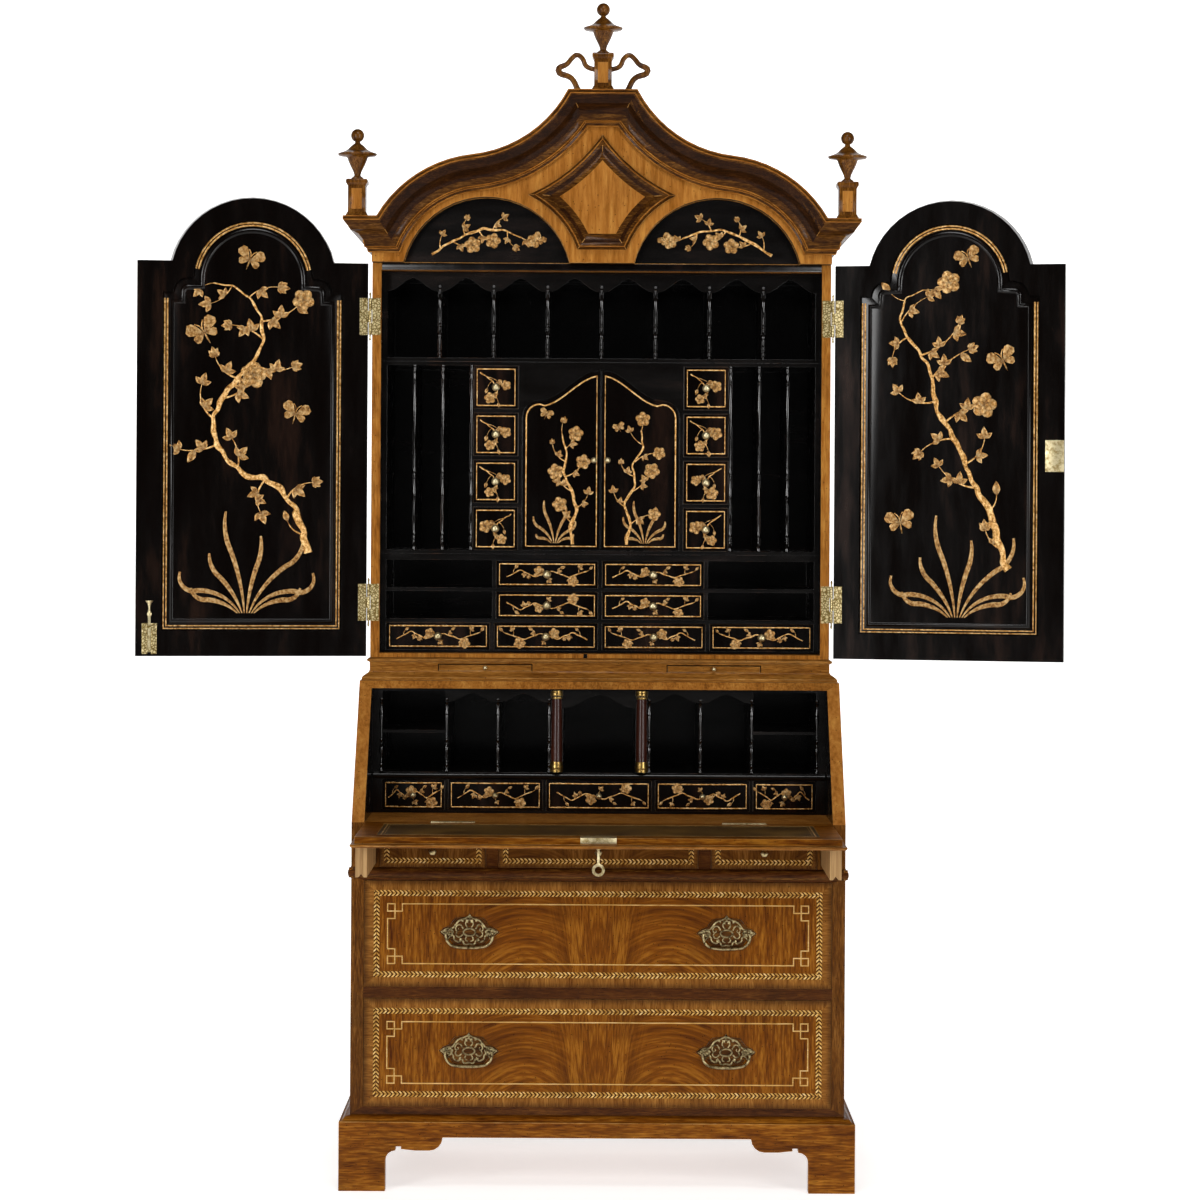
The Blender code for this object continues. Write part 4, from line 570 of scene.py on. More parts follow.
def plate(name, width, height, thick, ease=0.0006):
    """A flat plate with eased edges, its back on the plane z = 0."""
    bpy.ops.object.select_all(action="DESELECT")
    bpy.ops.mesh.primitive_plane_add(size=1)
    piece = bpy.context.object
    piece.name = name
    bpy.ops.object.mode_set(mode="EDIT")
    bpy.ops.mesh.select_all(action="SELECT")
    bpy.ops.transform.resize(value=(width, height, 1))
    bpy.ops.mesh.extrude_region_move(TRANSFORM_OT_translate={"value": (0, 0, thick)})
    bpy.ops.mesh.select_all(action="SELECT")
    bpy.ops.mesh.normals_make_consistent(inside=False)
    bpy.ops.object.mode_set(mode="OBJECT")
    apply_modifier(piece, "BEVEL", width=ease, segments=2, limit_method="ANGLE")
    return piece


def facing(x, y, z):
    """The place of a front face: pattern x runs right, pattern y runs up and pattern z comes forward."""
    return Matrix.Translation((x, y, z)) @ Matrix.Rotation(math.pi / 2, 4, "X")


def door_face(side, y=0.0):
    """The place of a main door's inner face, at the middle of its width and the floor's level."""
    hand = -1 if side == "left" else 1
    axis = Matrix.Translation((hand * DOOR_HINGE_X, DOOR_HINGE_Y, 0))
    turn = Matrix.Rotation(math.radians(DOOR_TURNS[side]), 4, "Z")
    middle = hand * (DOOR_NEAR_EDGE + DOOR_WIDTH / 2)
    return axis @ turn @ Matrix.Translation((0, 0.0016, 0)) @ facing(middle, y, 0)


def solid_copy(node, name):
    """A copy of a solid, open for editing, with merged corners and whole flat faces."""
    piece = bpy.data.objects.new(name, frame["nodes"][node].data.copy())
    bpy.context.scene.collection.objects.link(piece)
    select_only(piece)
    bpy.ops.mesh.customdata_custom_splitnormals_clear()
    bpy.ops.object.mode_set(mode="EDIT")
    bpy.ops.mesh.select_all(action="SELECT")
    bpy.ops.mesh.remove_doubles(threshold=0.00002)
    bpy.ops.mesh.dissolve_limited(angle_limit=math.radians(0.3))
    return piece


def dress(node, finishes, choose=None, ease=0.0006, smooth=32, worn=None):
    """A copy of a solid with eased edges and its finishes, which stands for it.

    choose(centre, normal) gives the number of the finish for each face, and worn that of its edges.
    """
    piece = solid_copy(node, f"{node}.finish")
    bpy.ops.mesh.vert_connect_concave()
    bpy.ops.object.mode_set(mode="OBJECT")
    piece.data.materials.clear()
    for finish in finishes:
        piece.data.materials.append(finish)
    if choose:
        for face in piece.data.polygons:
            face.material_index = choose(face.center, face.normal)
    if ease:
        apply_modifier(
            piece,
            "BEVEL",
            width=ease,
            segments=2,
            limit_method="ANGLE",
            angle_limit=math.radians(40),
            material=-1 if worn is None else worn,
        )
    select_only(piece)
    bpy.ops.object.shade_smooth_by_angle(angle=math.radians(smooth))
    apply_modifier(piece, "WEIGHTED_NORMAL", weight=90, keep_sharp=True)
    return seat(piece, body_of(node), node)


# Gilt motifs, modelled once, one unit long


def leaf_blank(name, widths, ridge, rib_ink, rim_ink, root_shade):
    """A leaf or petal: a grid drawn in row by row, raised along its rib and given a body.

    An attribute darkens its gold: ink along the rib and the rim, and painted shade towards the root, where
    leaves and petals meet.
    """
    bpy.ops.object.select_all(action="DESELECT")
    rows = len(widths) - 1
    bpy.ops.mesh.primitive_grid_add(x_subdivisions=2, y_subdivisions=rows, size=1)
    blank = bpy.context.object
    blank.name = name
    for number, width in enumerate(widths):
        height = number / rows - 0.5
        pick(blank, lambda co: abs(co.y - height) < 0.3 / rows)
        bpy.ops.transform.resize(value=(width, 1, 1))
        bpy.ops.object.mode_set(mode="OBJECT")
    pick(blank, lambda co: abs(co.x) < 0.01)
    bpy.ops.transform.translate(value=(0, 0.5, ridge))
    bpy.ops.mesh.select_all(action="INVERT")
    bpy.ops.transform.translate(value=(0, 0.5, 0))
    bpy.ops.object.mode_set(mode="OBJECT")
    ink = blank.data.attributes.new("ink_and_shade", "FLOAT", "POINT")
    for vertex in blank.data.vertices:
        line = rib_ink if abs(vertex.co.x) < 0.01 else rim_ink
        # The root is darkened as painted shade, where the motif meets its stem.
        ink.data[vertex.index].value = max(line, root_shade * (1 - 1.4 * vertex.co.y))
    apply_modifier(blank, "SOLIDIFY", thickness=0.05, offset=-1)
    return blank


def gather(name, blank, places):
    """Copies of a blank at each (turn in degrees, size, lift), joined into one motif."""
    copies = []
    for turn, size, lift in places:
        turned = Matrix.Rotation(math.radians(turn), 4, "Z") @ Matrix.Scale(size, 4)
        copies.append(stamp(blank, Matrix.Translation((0, 0, lift)) @ turned))
    return join(name, copies)


LEAF = leaf_blank("leaf_blank", (0.10, 0.40, 0.56, 0.50, 0.30, 0.05), 0.10, 0.55, 0.0, 0.7)
PETAL = leaf_blank("petal_blank", (0.16, 0.55, 0.82, 0.92, 0.78, 0.34), 0.07, 0.0, 0.60, 0.90)
TREFOIL = gather("trefoil", LEAF, ((0, 1.0, 0.02), (58, 0.80, 0.0), (-58, 0.80, 0.0)))
BLOSSOM = gather(
    "blossom",
    PETAL,
    [(72 * i, 1.0, 0.0) for i in range(5)]
    + [(72 * i + 36, 0.66, 0.10) for i in range(5)]
    + [(120 * i, 0.34, 0.19) for i in range(3)],
)
BUD = gather(
    "bud", LEAF, ((0, 1.0, 0.04), (32, 0.85, 0.0), (-32, 0.85, 0.0), (64, 0.6, 0.0), (-64, 0.6, 0.0))
)
WING = leaf_blank("wing_blank", (0.05, 0.22, 0.42, 0.60, 0.68, 0.40), 0.06, 0.45, 0.25, 0.80)
MOTH_BODY = leaf_blank("body_blank", (0.06, 0.13, 0.15, 0.14, 0.09, 0.03), 0.09, 0.0, 0.2, 0.0)
WINGS = gather("wings", WING, ((52, 1.0, 0.05), (-52, 1.0, 0.05), (108, 0.68, 0.0), (-108, 0.68, 0.0)))
GRASS_INK = 0.42
# Lengths of the leaves on the main doors, and on the lunettes and cupboard doors
DOOR_LEAF = 0.0245
SMALL_LEAF = 0.0150
MOTIFS = {"l": (TREFOIL, 1.0), "f": (BLOSSOM, 1.05), "b": (BUD, 0.9), "i": (LEAF, 1.1)}


def lying(u, v, turn, size, lift=0.0001):
    """The place of a motif on its ground; turn is the way that its tip points, in degrees."""
    turned = Matrix.Rotation(math.radians(turn - 90), 4, "Z") @ Matrix.Scale(size, 4)
    return Matrix.Translation((u, v, lift)) @ turned


def new_line(name, bevel, fineness):
    """An empty curve with a round section and closed ends."""
    line = bpy.data.curves.new(name, "CURVE")
    line.dimensions = "3D"
    line.bevel_depth = bevel
    line.bevel_resolution = fineness
    line.use_fill_caps = True
    return line


def stem(points, flat=0.5):
    """A rounded line of paste through (u, v, radius) points, flattened on its ground."""
    line = new_line("stem", 1.0, 2)
    line.resolution_u = 5
    path = line.splines.new("BEZIER")
    path.bezier_points.add(len(points) - 1)
    for knot, (u, v, radius) in zip(path.bezier_points, points):
        knot.co = (u, v, 0)
        knot.radius = radius
        knot.handle_left_type = knot.handle_right_type = "AUTO"
    return solid_line(line, flat)


def strip(points, width, proud, closed=False):
    """A flat line of even width through (u, v) points, standing proud of its ground."""
    line = new_line("strip", width / 2, 1)
    path = line.splines.new("POLY")
    path.points.add(len(points) - 1)
    path.use_cyclic_u = closed
    for knot, (u, v) in zip(path.points, points):
        knot.co = (u, v, 0, 1)
    return solid_line(line, 2 * proud / width)


def solid_line(line, flat):
    """A curve made a mesh and flattened on its ground."""
    piece = bpy.data.objects.new(line.name, line)
    bpy.context.scene.collection.objects.link(piece)
    select_only(piece)
    bpy.ops.object.convert(target="MESH")
    piece = bpy.context.object
    piece.data.transform(Matrix.Diagonal((1, 1, flat, 1)))
    return piece


FEELERS = [
    stem([(0, 0.2, 0.03), (hand * 0.08, 0.46, 0.026), (hand * 0.26, 0.66, 0.03)]) for hand in (-1, 1)
]
MOTH = join("moth", [WINGS, gather("moth_body", MOTH_BODY, ((0, 0.34, 0.06), (180, 0.62, 0.06))), *FEELERS])


def bend_points(start, heading, length, bend, thick, steps=5):
    """Points of a curve that turns by bend degrees over its length and thins to a third."""
    u, v = start
    points = []
    for number in range(steps + 1):
        points.append((u, v, thick * (1 - 0.68 * number / steps)))
        angle = math.radians(heading + bend * number / steps)
        u += length / steps * math.cos(angle)
        v += length / steps * math.sin(angle)
    return points


def grow_twig(start, heading, length, bend, kinds, thick, leaf, chance):
    """A twig with a trefoil (l), leaf (i), bud (b) or blossom (f) at each joint and at its tip."""
    points = bend_points(start, heading, length, bend, thick)
    pieces = [stem(points)]
    for number, kind in enumerate(kinds, 1):
        share = number / len(kinds)
        u, v, _ = points[round(share * 5)]
        lean = heading + bend * share + chance.uniform(-12, 12)
        if number < len(kinds):
            lean += 62 * (-1) ** number
        motif, size = MOTIFS[kind]
        pieces.append(stamp(motif, lying(u, v, lean, leaf * size * chance.uniform(0.85, 1.15))))
    return pieces


def grow_branch(trunk, twigs, leaf, chance):
    """A knotty branch through (u, v, radius) points with (share, heading, length, bend, kinds) twigs."""
    knotty = []
    for here, there in zip(trunk, trunk[1:]):
        for share in (0.0, 0.34, 0.67):
            u, v, radius = (a + (b - a) * share for a, b in zip(here, there))
            sway = radius * 0.55
            place = (u + chance.uniform(-sway, sway), v + chance.uniform(-sway, sway))
            knotty.append((*place, radius * chance.uniform(0.62, 1.20)))
    pieces = [stem(knotty + [trunk[-1]])]
    for share, heading, length, bend, kinds in twigs:
        place = share * (len(trunk) - 1)
        number = min(int(place), len(trunk) - 2)
        start = [a + (b - a) * (place - number) for a, b in zip(trunk[number], trunk[number + 1])]
        thick = min(start[2] * 0.55, leaf * 0.085)
        pieces += grow_twig(start[:2], heading, length, bend, kinds, thick, leaf, chance)
    return pieces


def grow_tuft(u, v, blades, thick):
    """Long grass from one root, thinly gilt and broad in its middle.

    Each blade is (heading, length in millimetres, bend).
    """
    pieces = []
    for number, (heading, length, bend) in enumerate(blades):
        root = (u + (number - len(blades) / 2) * thick * 1.2, v)
        rising = bend_points(root, heading, length * MM * 0.6, bend, thick)
        over = bend_points(rising[-1][:2], heading + bend, length * MM * 0.4, -2.2 * bend, thick)
        line = rising[:-1] + over
        swell = [0.28 + 0.95 * math.sin(math.pi * step / len(line)) for step in range(len(line))]
        blade = stem([(x, y, thick * share) for (x, y, _), share in zip(line, swell)], 0.30)
        ink = blade.data.attributes.new("ink_and_shade", "FLOAT", "POINT")
        ink.data.foreach_set("value", [GRASS_INK] * len(ink.data))
        pieces.append(blade)
    return pieces


def scaled_twigs(twigs, scale):
    """Twigs with their lengths times the scale."""
    return [(share, heading, length * scale, bend, kinds) for share, heading, length, bend, kinds in twigs]


def in_mm(points):
    """Points given in millimetres, in metres."""
    return [tuple(value * MM for value in point) for point in points]


def gild(name, body, pieces, place, bow=None):
    """Joins gilt pieces, lays them on their ground and hands them to the body that carries it."""
    piece = join(name, pieces)
    piece.data.transform(place)
    if bow:
        low, high = bow
        # The bowed front has flat facets, which stand a little forward of the curve.
        piece.data.transform(Matrix.Translation((0, -DESK_GILDING_OUT, 0)))
        for vertex in piece.data.vertices:
            share = (vertex.co.x - low) / (high - low)
            vertex.co.y -= DESK_BOW * math.sin(math.pi * share) ** 2
    cover(piece, GOLD, 50)
    return seat(piece, body)


# Carcase


def dress_carcase():
    """The walnut cases, with lacquer inside the desk and the cabinet."""
    dress("base_with_feet", [BASE_WALNUT, WORN_AND_HIGHLIT_WALNUT], ease=0.001, worn=1)

    def case_finish(centre, normal):
        inside = abs(centre.x) < CASE_INNER + 0.0005 and WRITING_Z + 0.005 < centre.z < CASE_TOP - 0.0155
        inward = abs(normal.x) > 0.9 or normal.y < -0.9 or normal.z < -0.9
        if inside and inward and centre.y > FRONT + 0.01:
            return 2
        if normal.z > 0.15 and normal.y < -0.3 and abs(centre.x) > CASE_INNER - 0.002:
            return 5
        # The front rails between the drawers take the darker walnut as painted shade.
        if normal.y < -0.9 and centre.y < FRONT + 0.001:
            return 4 if abs(centre.x) > CASE_INNER - 0.03 else 1
        if centre.y < FRONT - 0.0005 or abs(centre.x) > CASE_HALF + 0.0005:
            return 3
        return 0

    finishes = [CASE_WALNUT, SHADED_RAIL, LACQUER, MOULDED_WALNUT, STILE_WALNUT, PALE_WALNUT]
    dress("lower_case", finishes, case_finish)
    dress("cabinet_base", [RAIL_WALNUT, WORN_AND_HIGHLIT_WALNUT], worn=1)
    for side in ("left", "right"):
        dress(f"candle_slide_{side}", [RAIL_WALNUT, WORN_AND_HIGHLIT_WALNUT], worn=1)
        outline_slide(side)
        dress(f"loper_{side}", [LOPER_OAK])

    def upper_finish(centre, normal):
        inside = abs(centre.x) < UPPER_INNER + 0.0005 and centre.y > UPPER_FRONT + 0.001
        return 1 if inside and normal.y < 0.5 and abs(normal.z) < 0.5 else 0

    dress("upper_case", [CASE_WALNUT, LACQUER], upper_finish)

    def hood_finish(centre, normal):
        if normal.y < -0.95 and abs(centre.y - SPANDREL_FRONT) < 0.0008:
            return 1
        if normal.y < -0.95 and centre.y > UPPER_FRONT - 0.004:
            return 2
        if normal.y < -0.95 and abs(centre.y - SPANDREL_FRONT + LOZENGE_FIELD) < 0.0006:
            return 1
        # Faces turned down and in towards the hood's middle, the undersides of the mouldings, take the
        # darkest walnut as painted shade.
        inward = Vector((-centre.x, 0, HOOD_Z + 0.05 - centre.z)).normalized()
        return 3 if normal.dot(inward) > 0.08 and -0.85 < normal.y < 0.1 else 0

    finishes = [MOULDED_WALNUT, PALE_WALNUT, LACQUER, SHADOW_WALNUT, WORN_AND_HIGHLIT_WALNUT]
    dress("hood", finishes, hood_finish, 0.0009, worn=4)
    bead_cornice(hood_finish)
    rail = plate("lunette_rail", 2 * UPPER_INNER - 0.002, 0.015, 0.0022)
    rail.data.transform(facing(0, UPPER_FRONT, HOOD_Z - 0.0078))
    seat(cover(rail, DOOR_LACQUER), "case")


def bead_cornice(finish_of):
    """A slim bead along each arris of the hood's mouldings, in lighter walnut as a painted highlight;
    finish_of tells them from the boards.
    """
    beads = solid_copy("hood", "hood.cornice_beads")
    bpy.ops.mesh.select_mode(type="EDGE")
    bpy.ops.mesh.select_all(action="DESELECT")
    bpy.ops.object.mode_set(mode="OBJECT")
    mesh = beads.data
    sides = {}
    for face in mesh.polygons:
        for key in face.edge_keys:
            sides.setdefault(key, []).append(face)
    cornice_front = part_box("hood")[0].y
    for edge in mesh.edges:
        faces = sides.get(tuple(sorted(edge.vertices)), [])
        start, end = (mesh.vertices[number].co for number in edge.vertices)
        along = (end - start).normalized()
        if len(faces) != 2 or abs(along.y) >= 0.3 or max(start.y, end.y) >= UPPER_FRONT - 0.001:
            continue
        moulded = all(finish_of(face.center, face.normal) in (0, 3) for face in faces)
        # Behind the front fillet, edges under 36 degrees are only facets of a curve.
        least = 26 if start.y < cornice_front + 0.001 else 36
        edge.select = moulded and faces[0].normal.angle(faces[1].normal) > math.radians(least)
    bpy.ops.object.mode_set(mode="EDIT")
    bpy.ops.mesh.select_all(action="INVERT")
    bpy.ops.mesh.delete(type="EDGE_FACE")
    bpy.ops.mesh.select_all(action="SELECT")
    bpy.ops.mesh.delete_loose(use_verts=True, use_edges=False, use_faces=False)
    bpy.ops.object.mode_set(mode="OBJECT")
    bpy.ops.object.convert(target="CURVE")
    beads = bpy.context.object
    beads.data.bevel_depth = CORNICE_BEAD
    beads.data.bevel_resolution = 1
    beads.data.use_fill_caps = True
    bpy.ops.object.convert(target="MESH")
    seat(cover(bpy.context.object, BEAD_HIGHLIGHT_WALNUT, 50), "case")


def outline_slide(side):
    """A dark strip round the candle slide's opening, a painted shadow for the gap round the slide."""
    node = f"candle_slide_{side}"
    low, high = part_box(node)
    half_u, half_v = (high.x - low.x) / 2 + 0.0018, (high.z - low.z) / 2 + 0.0018
    corners = ((-half_u, -half_v), (half_u, -half_v), (half_u, half_v), (-half_u, half_v))
    bead = strip(corners, 0.0026, 0.0006, closed=True)
    bead.name = f"cabinet_base.slide_shadow_strip_{side}"
    bead.data.transform(facing(*middle_at(node, low.y + SLIDE_KNOB)))
    seat(cover(bead, SHADOW_WALNUT, 30), "case")


# The finial's turned part: shares of the disc's radius and of the height
FINIAL_TURNING = (
    ((0.0, -0.01), (0.31, -0.01), (0.31, 0.035), (0.24, 0.05), (0.16, 0.08), (0.21, 0.15), (0.30, 0.22))
    + ((0.405, 0.30), (0.48, 0.37), (0.53, 0.43), (0.60, 0.45), (0.97, 0.47), (1.01, 0.49), (1.01, 0.51))
    + ((0.75, 0.545), (0.56, 0.58), (0.47, 0.61), (0.37, 0.65), (0.24, 0.69), (0.16, 0.71))
)
# The pedestal below it: shares of its half width and of its height
PEDESTAL = (
    ((0.0, 0.0), (1.22, 0.0), (1.22, 0.05), (1.08, 0.075), (1.12, 0.095), (1.0, 0.12), (1.0, 0.82))
    + ((1.08, 0.835), (1.08, 0.86), (1.22, 0.89), (1.22, 0.97), (1.12, 1.0), (0.0, 1.0))
)
# The scroll bracket beside the middle one: millimetres out and up from the crest, and its radius
BRACKET = ((53, 0.5, 6.2), (68, 27, 6.2), (96, 44, 7.0), (77, 58, 5.6), (66, 71, 5.4), (56, 77, 5.4))
BRACKET += ((45, 70, 5.4), (36, 53, 5.4), (14, 45, 5.4))


def make_finials():
    """Turned finials on square pedestals, the middle one with an open scroll on each side."""
    ball = FINIAL_HEIGHT * 0.132
    profile = [(FINIAL_DISC * r, FINIAL_HEIGHT * t) for r, t in FINIAL_TURNING]
    for number in range(13):
        angle = math.pi * (-0.38 + 0.88 * number / 12)
        profile.append((ball * math.cos(angle), FINIAL_HEIGHT - ball * (1 - math.sin(angle))))
    profile[-1] = (0.0, FINIAL_HEIGHT)
    turning = turn_profile("finial_turning", profile, 32)
    corner = PEDESTAL_HALF * 2**0.5
    block = turn_profile("pedestal", [(r * corner, t * PEDESTAL_HEIGHT) for r, t in PEDESTAL], 4)
    block.data.transform(Matrix.Rotation(math.pi / 4, 4, "Z"))
    for name in ("left", "middle", "right"):
        node = f"finial_{name}"
        low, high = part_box(node)
        foot = Vector(((low.x + high.x) / 2, (low.y + high.y) / 2, low.z))
        top = foot + Vector((0, 0, PEDESTAL_HEIGHT))
        pieces = [stamp(block, Matrix.Translation(foot)), stamp(turning, Matrix.Translation(top))]
        if name == "middle":
            for hand in (-1, 1):
                bracket = stem([(hand * u, v, r) for u, v, r in in_mm(BRACKET)], 1.0)
                bracket.data.transform(facing(*foot))
                pieces.append(bracket)
        seat(cover(join(f"{node}.finish", pieces), TURNED_WALNUT, 50), "case", node)
        panel = plate(f"{node}.panel", PEDESTAL_HALF * 1.2, PEDESTAL_HEIGHT * 0.56, 0.0014)
        panel.data.transform(facing(foot.x, foot.y - PEDESTAL_HALF, foot.z + PEDESTAL_HEIGHT * 0.47))
        seat(cover(panel, PALE_WALNUT), "case")
    bpy.data.objects.remove(turning)
    bpy.data.objects.remove(block)


# Fitments

# A split baluster on a divider's front edge: shares of its height and its radius in millimetres
BALUSTER = (
    ((0.0, 0.0), (0.0, 4.6), (0.025, 4.6), (0.035, 2.2), (0.06, 1.8), (0.085, 4.5), (0.11, 1.8))
    + ((0.15, 1.5), (0.22, 2.2), (0.29, 5.0), (0.33, 4.5), (0.37, 1.7), (0.40, 1.5), (0.425, 4.3))
    + ((0.45, 1.5), (0.50, 1.6), (0.62, 2.5), (0.75, 5.0), (0.81, 4.7), (0.88, 1.8), (0.91, 1.6))
    + ((0.94, 4.4), (0.96, 2.0), (0.975, 4.4), (1.0, 4.4), (1.0, 0.0))
)
# Places across of the folio racks' and the desk's dividers, and half the pigeonhole row's clear width
FOLIO_X = (0.3450, 0.4068, 0.2827)
DESK_DIVIDER_X = (0.1085, 0.2195, 0.3305, 0.4720)
ROW_HALF = 0.4667
ROW_HOLES = 8
NEST_BOARD = 0.008
# How far the balusters end below the tops of the pigeonhole row and of the desk's fitment
ROW_HEAD = 0.030
DESK_HEAD = 0.022


def turn_balusters(name, places, y, low, high):
    """Slender black balusters in front of the dividers at the given x places."""
    profile = [(radius * MM, t * (high - low)) for t, radius in BALUSTER]
    pattern = turn_profile("baluster", profile, 16)
    copies = [stamp(pattern, Matrix.Translation((x, y, low))) for x in places]
    bpy.data.objects.remove(pattern)
    seat(cover(join(name, copies), TURNED_LACQUER, 60), "case")


def turn_columns():
    """The desk's pair of red columns, each with a brass foot and cap."""
    low, high = WRITING_Z + DESK_SHELF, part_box("desk_fitment")[1].z - 0.004
    top = high - low - 0.014
    shaft = [(0.0, 0.018), (0.0122, 0.018), (0.0124, 0.06), (0.0119, 0.11), (0.0108, top), (0.0, top)]
    foot = [(0.0, 0.0), (0.0142, 0.0), (0.0142, 0.005), (0.0136, 0.006), (0.0146, 0.010)]
    foot += [(0.0136, 0.014), (0.0130, 0.016), (0.0136, 0.019), (0.0128, 0.022), (0.0, 0.022)]
    cap = [(r * 0.97, high - low - 0.80 * z) for r, z in foot]
    for name, profiles, finish, slot in (
        ("column_shafts", [shaft], COLUMN_RED, "black_lacquer"),
        ("column_brasses", [foot, cap], BRASS, "brass"),
    ):
        copies = []
        for profile in profiles:
            pattern = turn_profile(name, profile, 24)
            for x in (-COLUMN_X, COLUMN_X):
                copies.append(stamp(pattern, Matrix.Translation((x, DESK_FRONT, low))))
            bpy.data.objects.remove(pattern)
        seat(cover(join(name, copies), finish, 35), "case")


def dress_fitments():
    """The lacquered fitments and cupboard doors, with balusters and columns on their dividers."""
    for node in ("pigeonhole_row", "nest_case", "lower_nest", "desk_fitment"):
        dress(node, [LACQUER, WORN_AND_HIGHLIT_LACQUER], worn=1)
    finishes = [DOOR_LACQUER, BRASS, WORN_AND_HIGHLIT_LACQUER]
    for side in ("left", "right"):
        dress(f"cupboard_door_{side}", finishes, knob_faces, worn=2)
    low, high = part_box("nest_case")
    racks = [hand * x for hand in (-1, 1) for x in FOLIO_X]
    turn_balusters("folio_balusters", racks, FITMENT_FRONT, low.z + NEST_BOARD, high.z - NEST_BOARD)
    low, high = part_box("pigeonhole_row")
    end = ROW_HALF + NEST_BOARD / 2
    holes = [end * (2 * number / ROW_HOLES - 1) for number in range(1, ROW_HOLES)]
    turn_balusters("pigeonhole_balusters", holes, FITMENT_FRONT, low.z + NEST_BOARD, high.z - ROW_HEAD)
    dividers = [hand * x for hand in (-1, 1) for x in DESK_DIVIDER_X]
    desk_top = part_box("desk_fitment")[1].z - DESK_HEAD
    turn_balusters("desk_balusters", dividers, DESK_FRONT, WRITING_Z + DESK_SHELF, desk_top)
    turn_columns()


def knob_faces(centre, normal):
    """Brass for what stands in front of a cupboard door's face."""
    return 1 if centre.y < FITMENT_FRONT - 0.0005 else 0


# Drawers


def dress_drawer(node, slot, front_finish, face):
    """A drawer with its show front, its bare linings, its brass and the ground under its plates, painted
    dark as shade.
    """

    def finish(centre, normal):
        if centre.y > face + 0.004:
            return 1
        # The ground under the pierced plates takes the dark walnut as painted shade.
        if slot == "walnut" and normal.y < -0.9 and face - 0.0025 < centre.y < face - 0.0015:
            return 3
        if centre.y < face - 0.0075 or (slot == "walnut" and centre.y < face - 0.0008):
            return 2
        return 0

    dress(node, [front_finish, OAK, BRONZE if slot == "walnut" else BRASS, SHADED_GROUND], finish)


# The turned knob: shares of its radius and of its length
KNOB_TURNING = (
    ((0.0, -0.05), (0.70, -0.05), (0.70, 0.05), (0.52, 0.10), (0.44, 0.22), (0.50, 0.34), (0.90, 0.44))
    + ((1.0, 0.60), (0.96, 0.74), (0.78, 0.89), (0.45, 0.985), (0.0, 1.01))
)
KNOB_LENGTH = 0.0214


def turn_knob(name, body, places, radius, length):
    """Brass knobs on front faces at the given (x, y, z) places."""
    pattern = turn_profile("knob", [(r * radius, t * length) for r, t in KNOB_TURNING], 20)
    copies = [stamp(pattern, facing(*place)) for place in places]
    bpy.data.objects.remove(pattern)
    seat(cover(join(name, copies), PALE_BRASS, 45), body)


def small_drawers():
    """The names of the lacquered drawers in the cabinet and the desk."""
    names = [f"column_drawer_{side}_{row}" for side in ("left", "right") for row in (1, 2, 3, 4)]
    names += [f"inner_drawer_{side}_{row}" for side in ("left", "right") for row in ("upper", "lower")]
    names += [f"bottom_drawer_{number}" for number in (1, 2, 3, 4)]
    names += [f"desk_drawer_{number}" for number in (1, 2, 3, 4, 5)]
    return names


def gild_drawer(node, face, chance):
    """A drawer's gilt frame and its spray of leaves and blossoms round the knob."""
    low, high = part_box(node)
    width, height = high.x - low.x, high.z - low.z
    half_u, half_v = width / 2 - 0.007, height / 2 - 0.007
    steps = [half_u * (number / 8 - 1) for number in range(17)]
    border = [(u, -half_v) for u in steps] + [(-u, half_v) for u in steps]
    pieces = [strip(border, 0.0024, 0.0005, closed=True)]
    hand, lift = chance.choice((-1, 1)), chance.choice((-1, 1))
    if node.startswith("column"):
        trunk = [(-0.36, -0.34), (-0.20, -0.24), (-0.06, -0.12), (0.04, 0.06), (0.0, 0.22)]
        twigs = ((0.25, 10, 0.26, 30, "l"), (0.45, 140, 0.20, -40, "i"), (0.6, -20, 0.26, 50, "lf"))
        twigs += ((0.8, 150, 0.24, -30, "lf"), (1.0, 60, 0.14, 20, "i"))
        leaf, reach = 0.0120, width
    else:
        trunk = [(-0.80, -0.10), (-0.52, 0.16), (-0.24, -0.08), (0.10, 0.10), (0.42, -0.10), (0.78, 0.12)]
        twigs = ((0.10, 100, 0.20, -60, "i"), (0.24, -70, 0.24, 50, "lb"), (0.38, 60, 0.28, -50, "lf"))
        twigs += ((0.55, -110, 0.26, 60, "l"), (0.66, 80, 0.22, -50, "li"), (0.80, -60, 0.24, 50, "lf"))
        twigs += ((0.92, 110, 0.20, -50, "l"), (1.0, 20, 0.12, 30, "i"))
        leaf, reach = 0.0105, width / 2
    size = min(width, height)
    path = [(u * reach, v * height, 0.0013) for u, v in trunk]
    for piece in grow_branch(path, scaled_twigs(twigs, size), leaf, chance):
        piece.data.transform(Matrix.Diagonal((hand, lift, 1, 1)))
        if hand * lift < 0:
            piece.data.flip_normals()
        pieces.append(piece)
    place = facing(*middle_at(node, face))
    bow = (low.x, high.x) if node.startswith("desk") else None
    gild(f"{node}.gilding", body_of(node), pieces, place, bow)


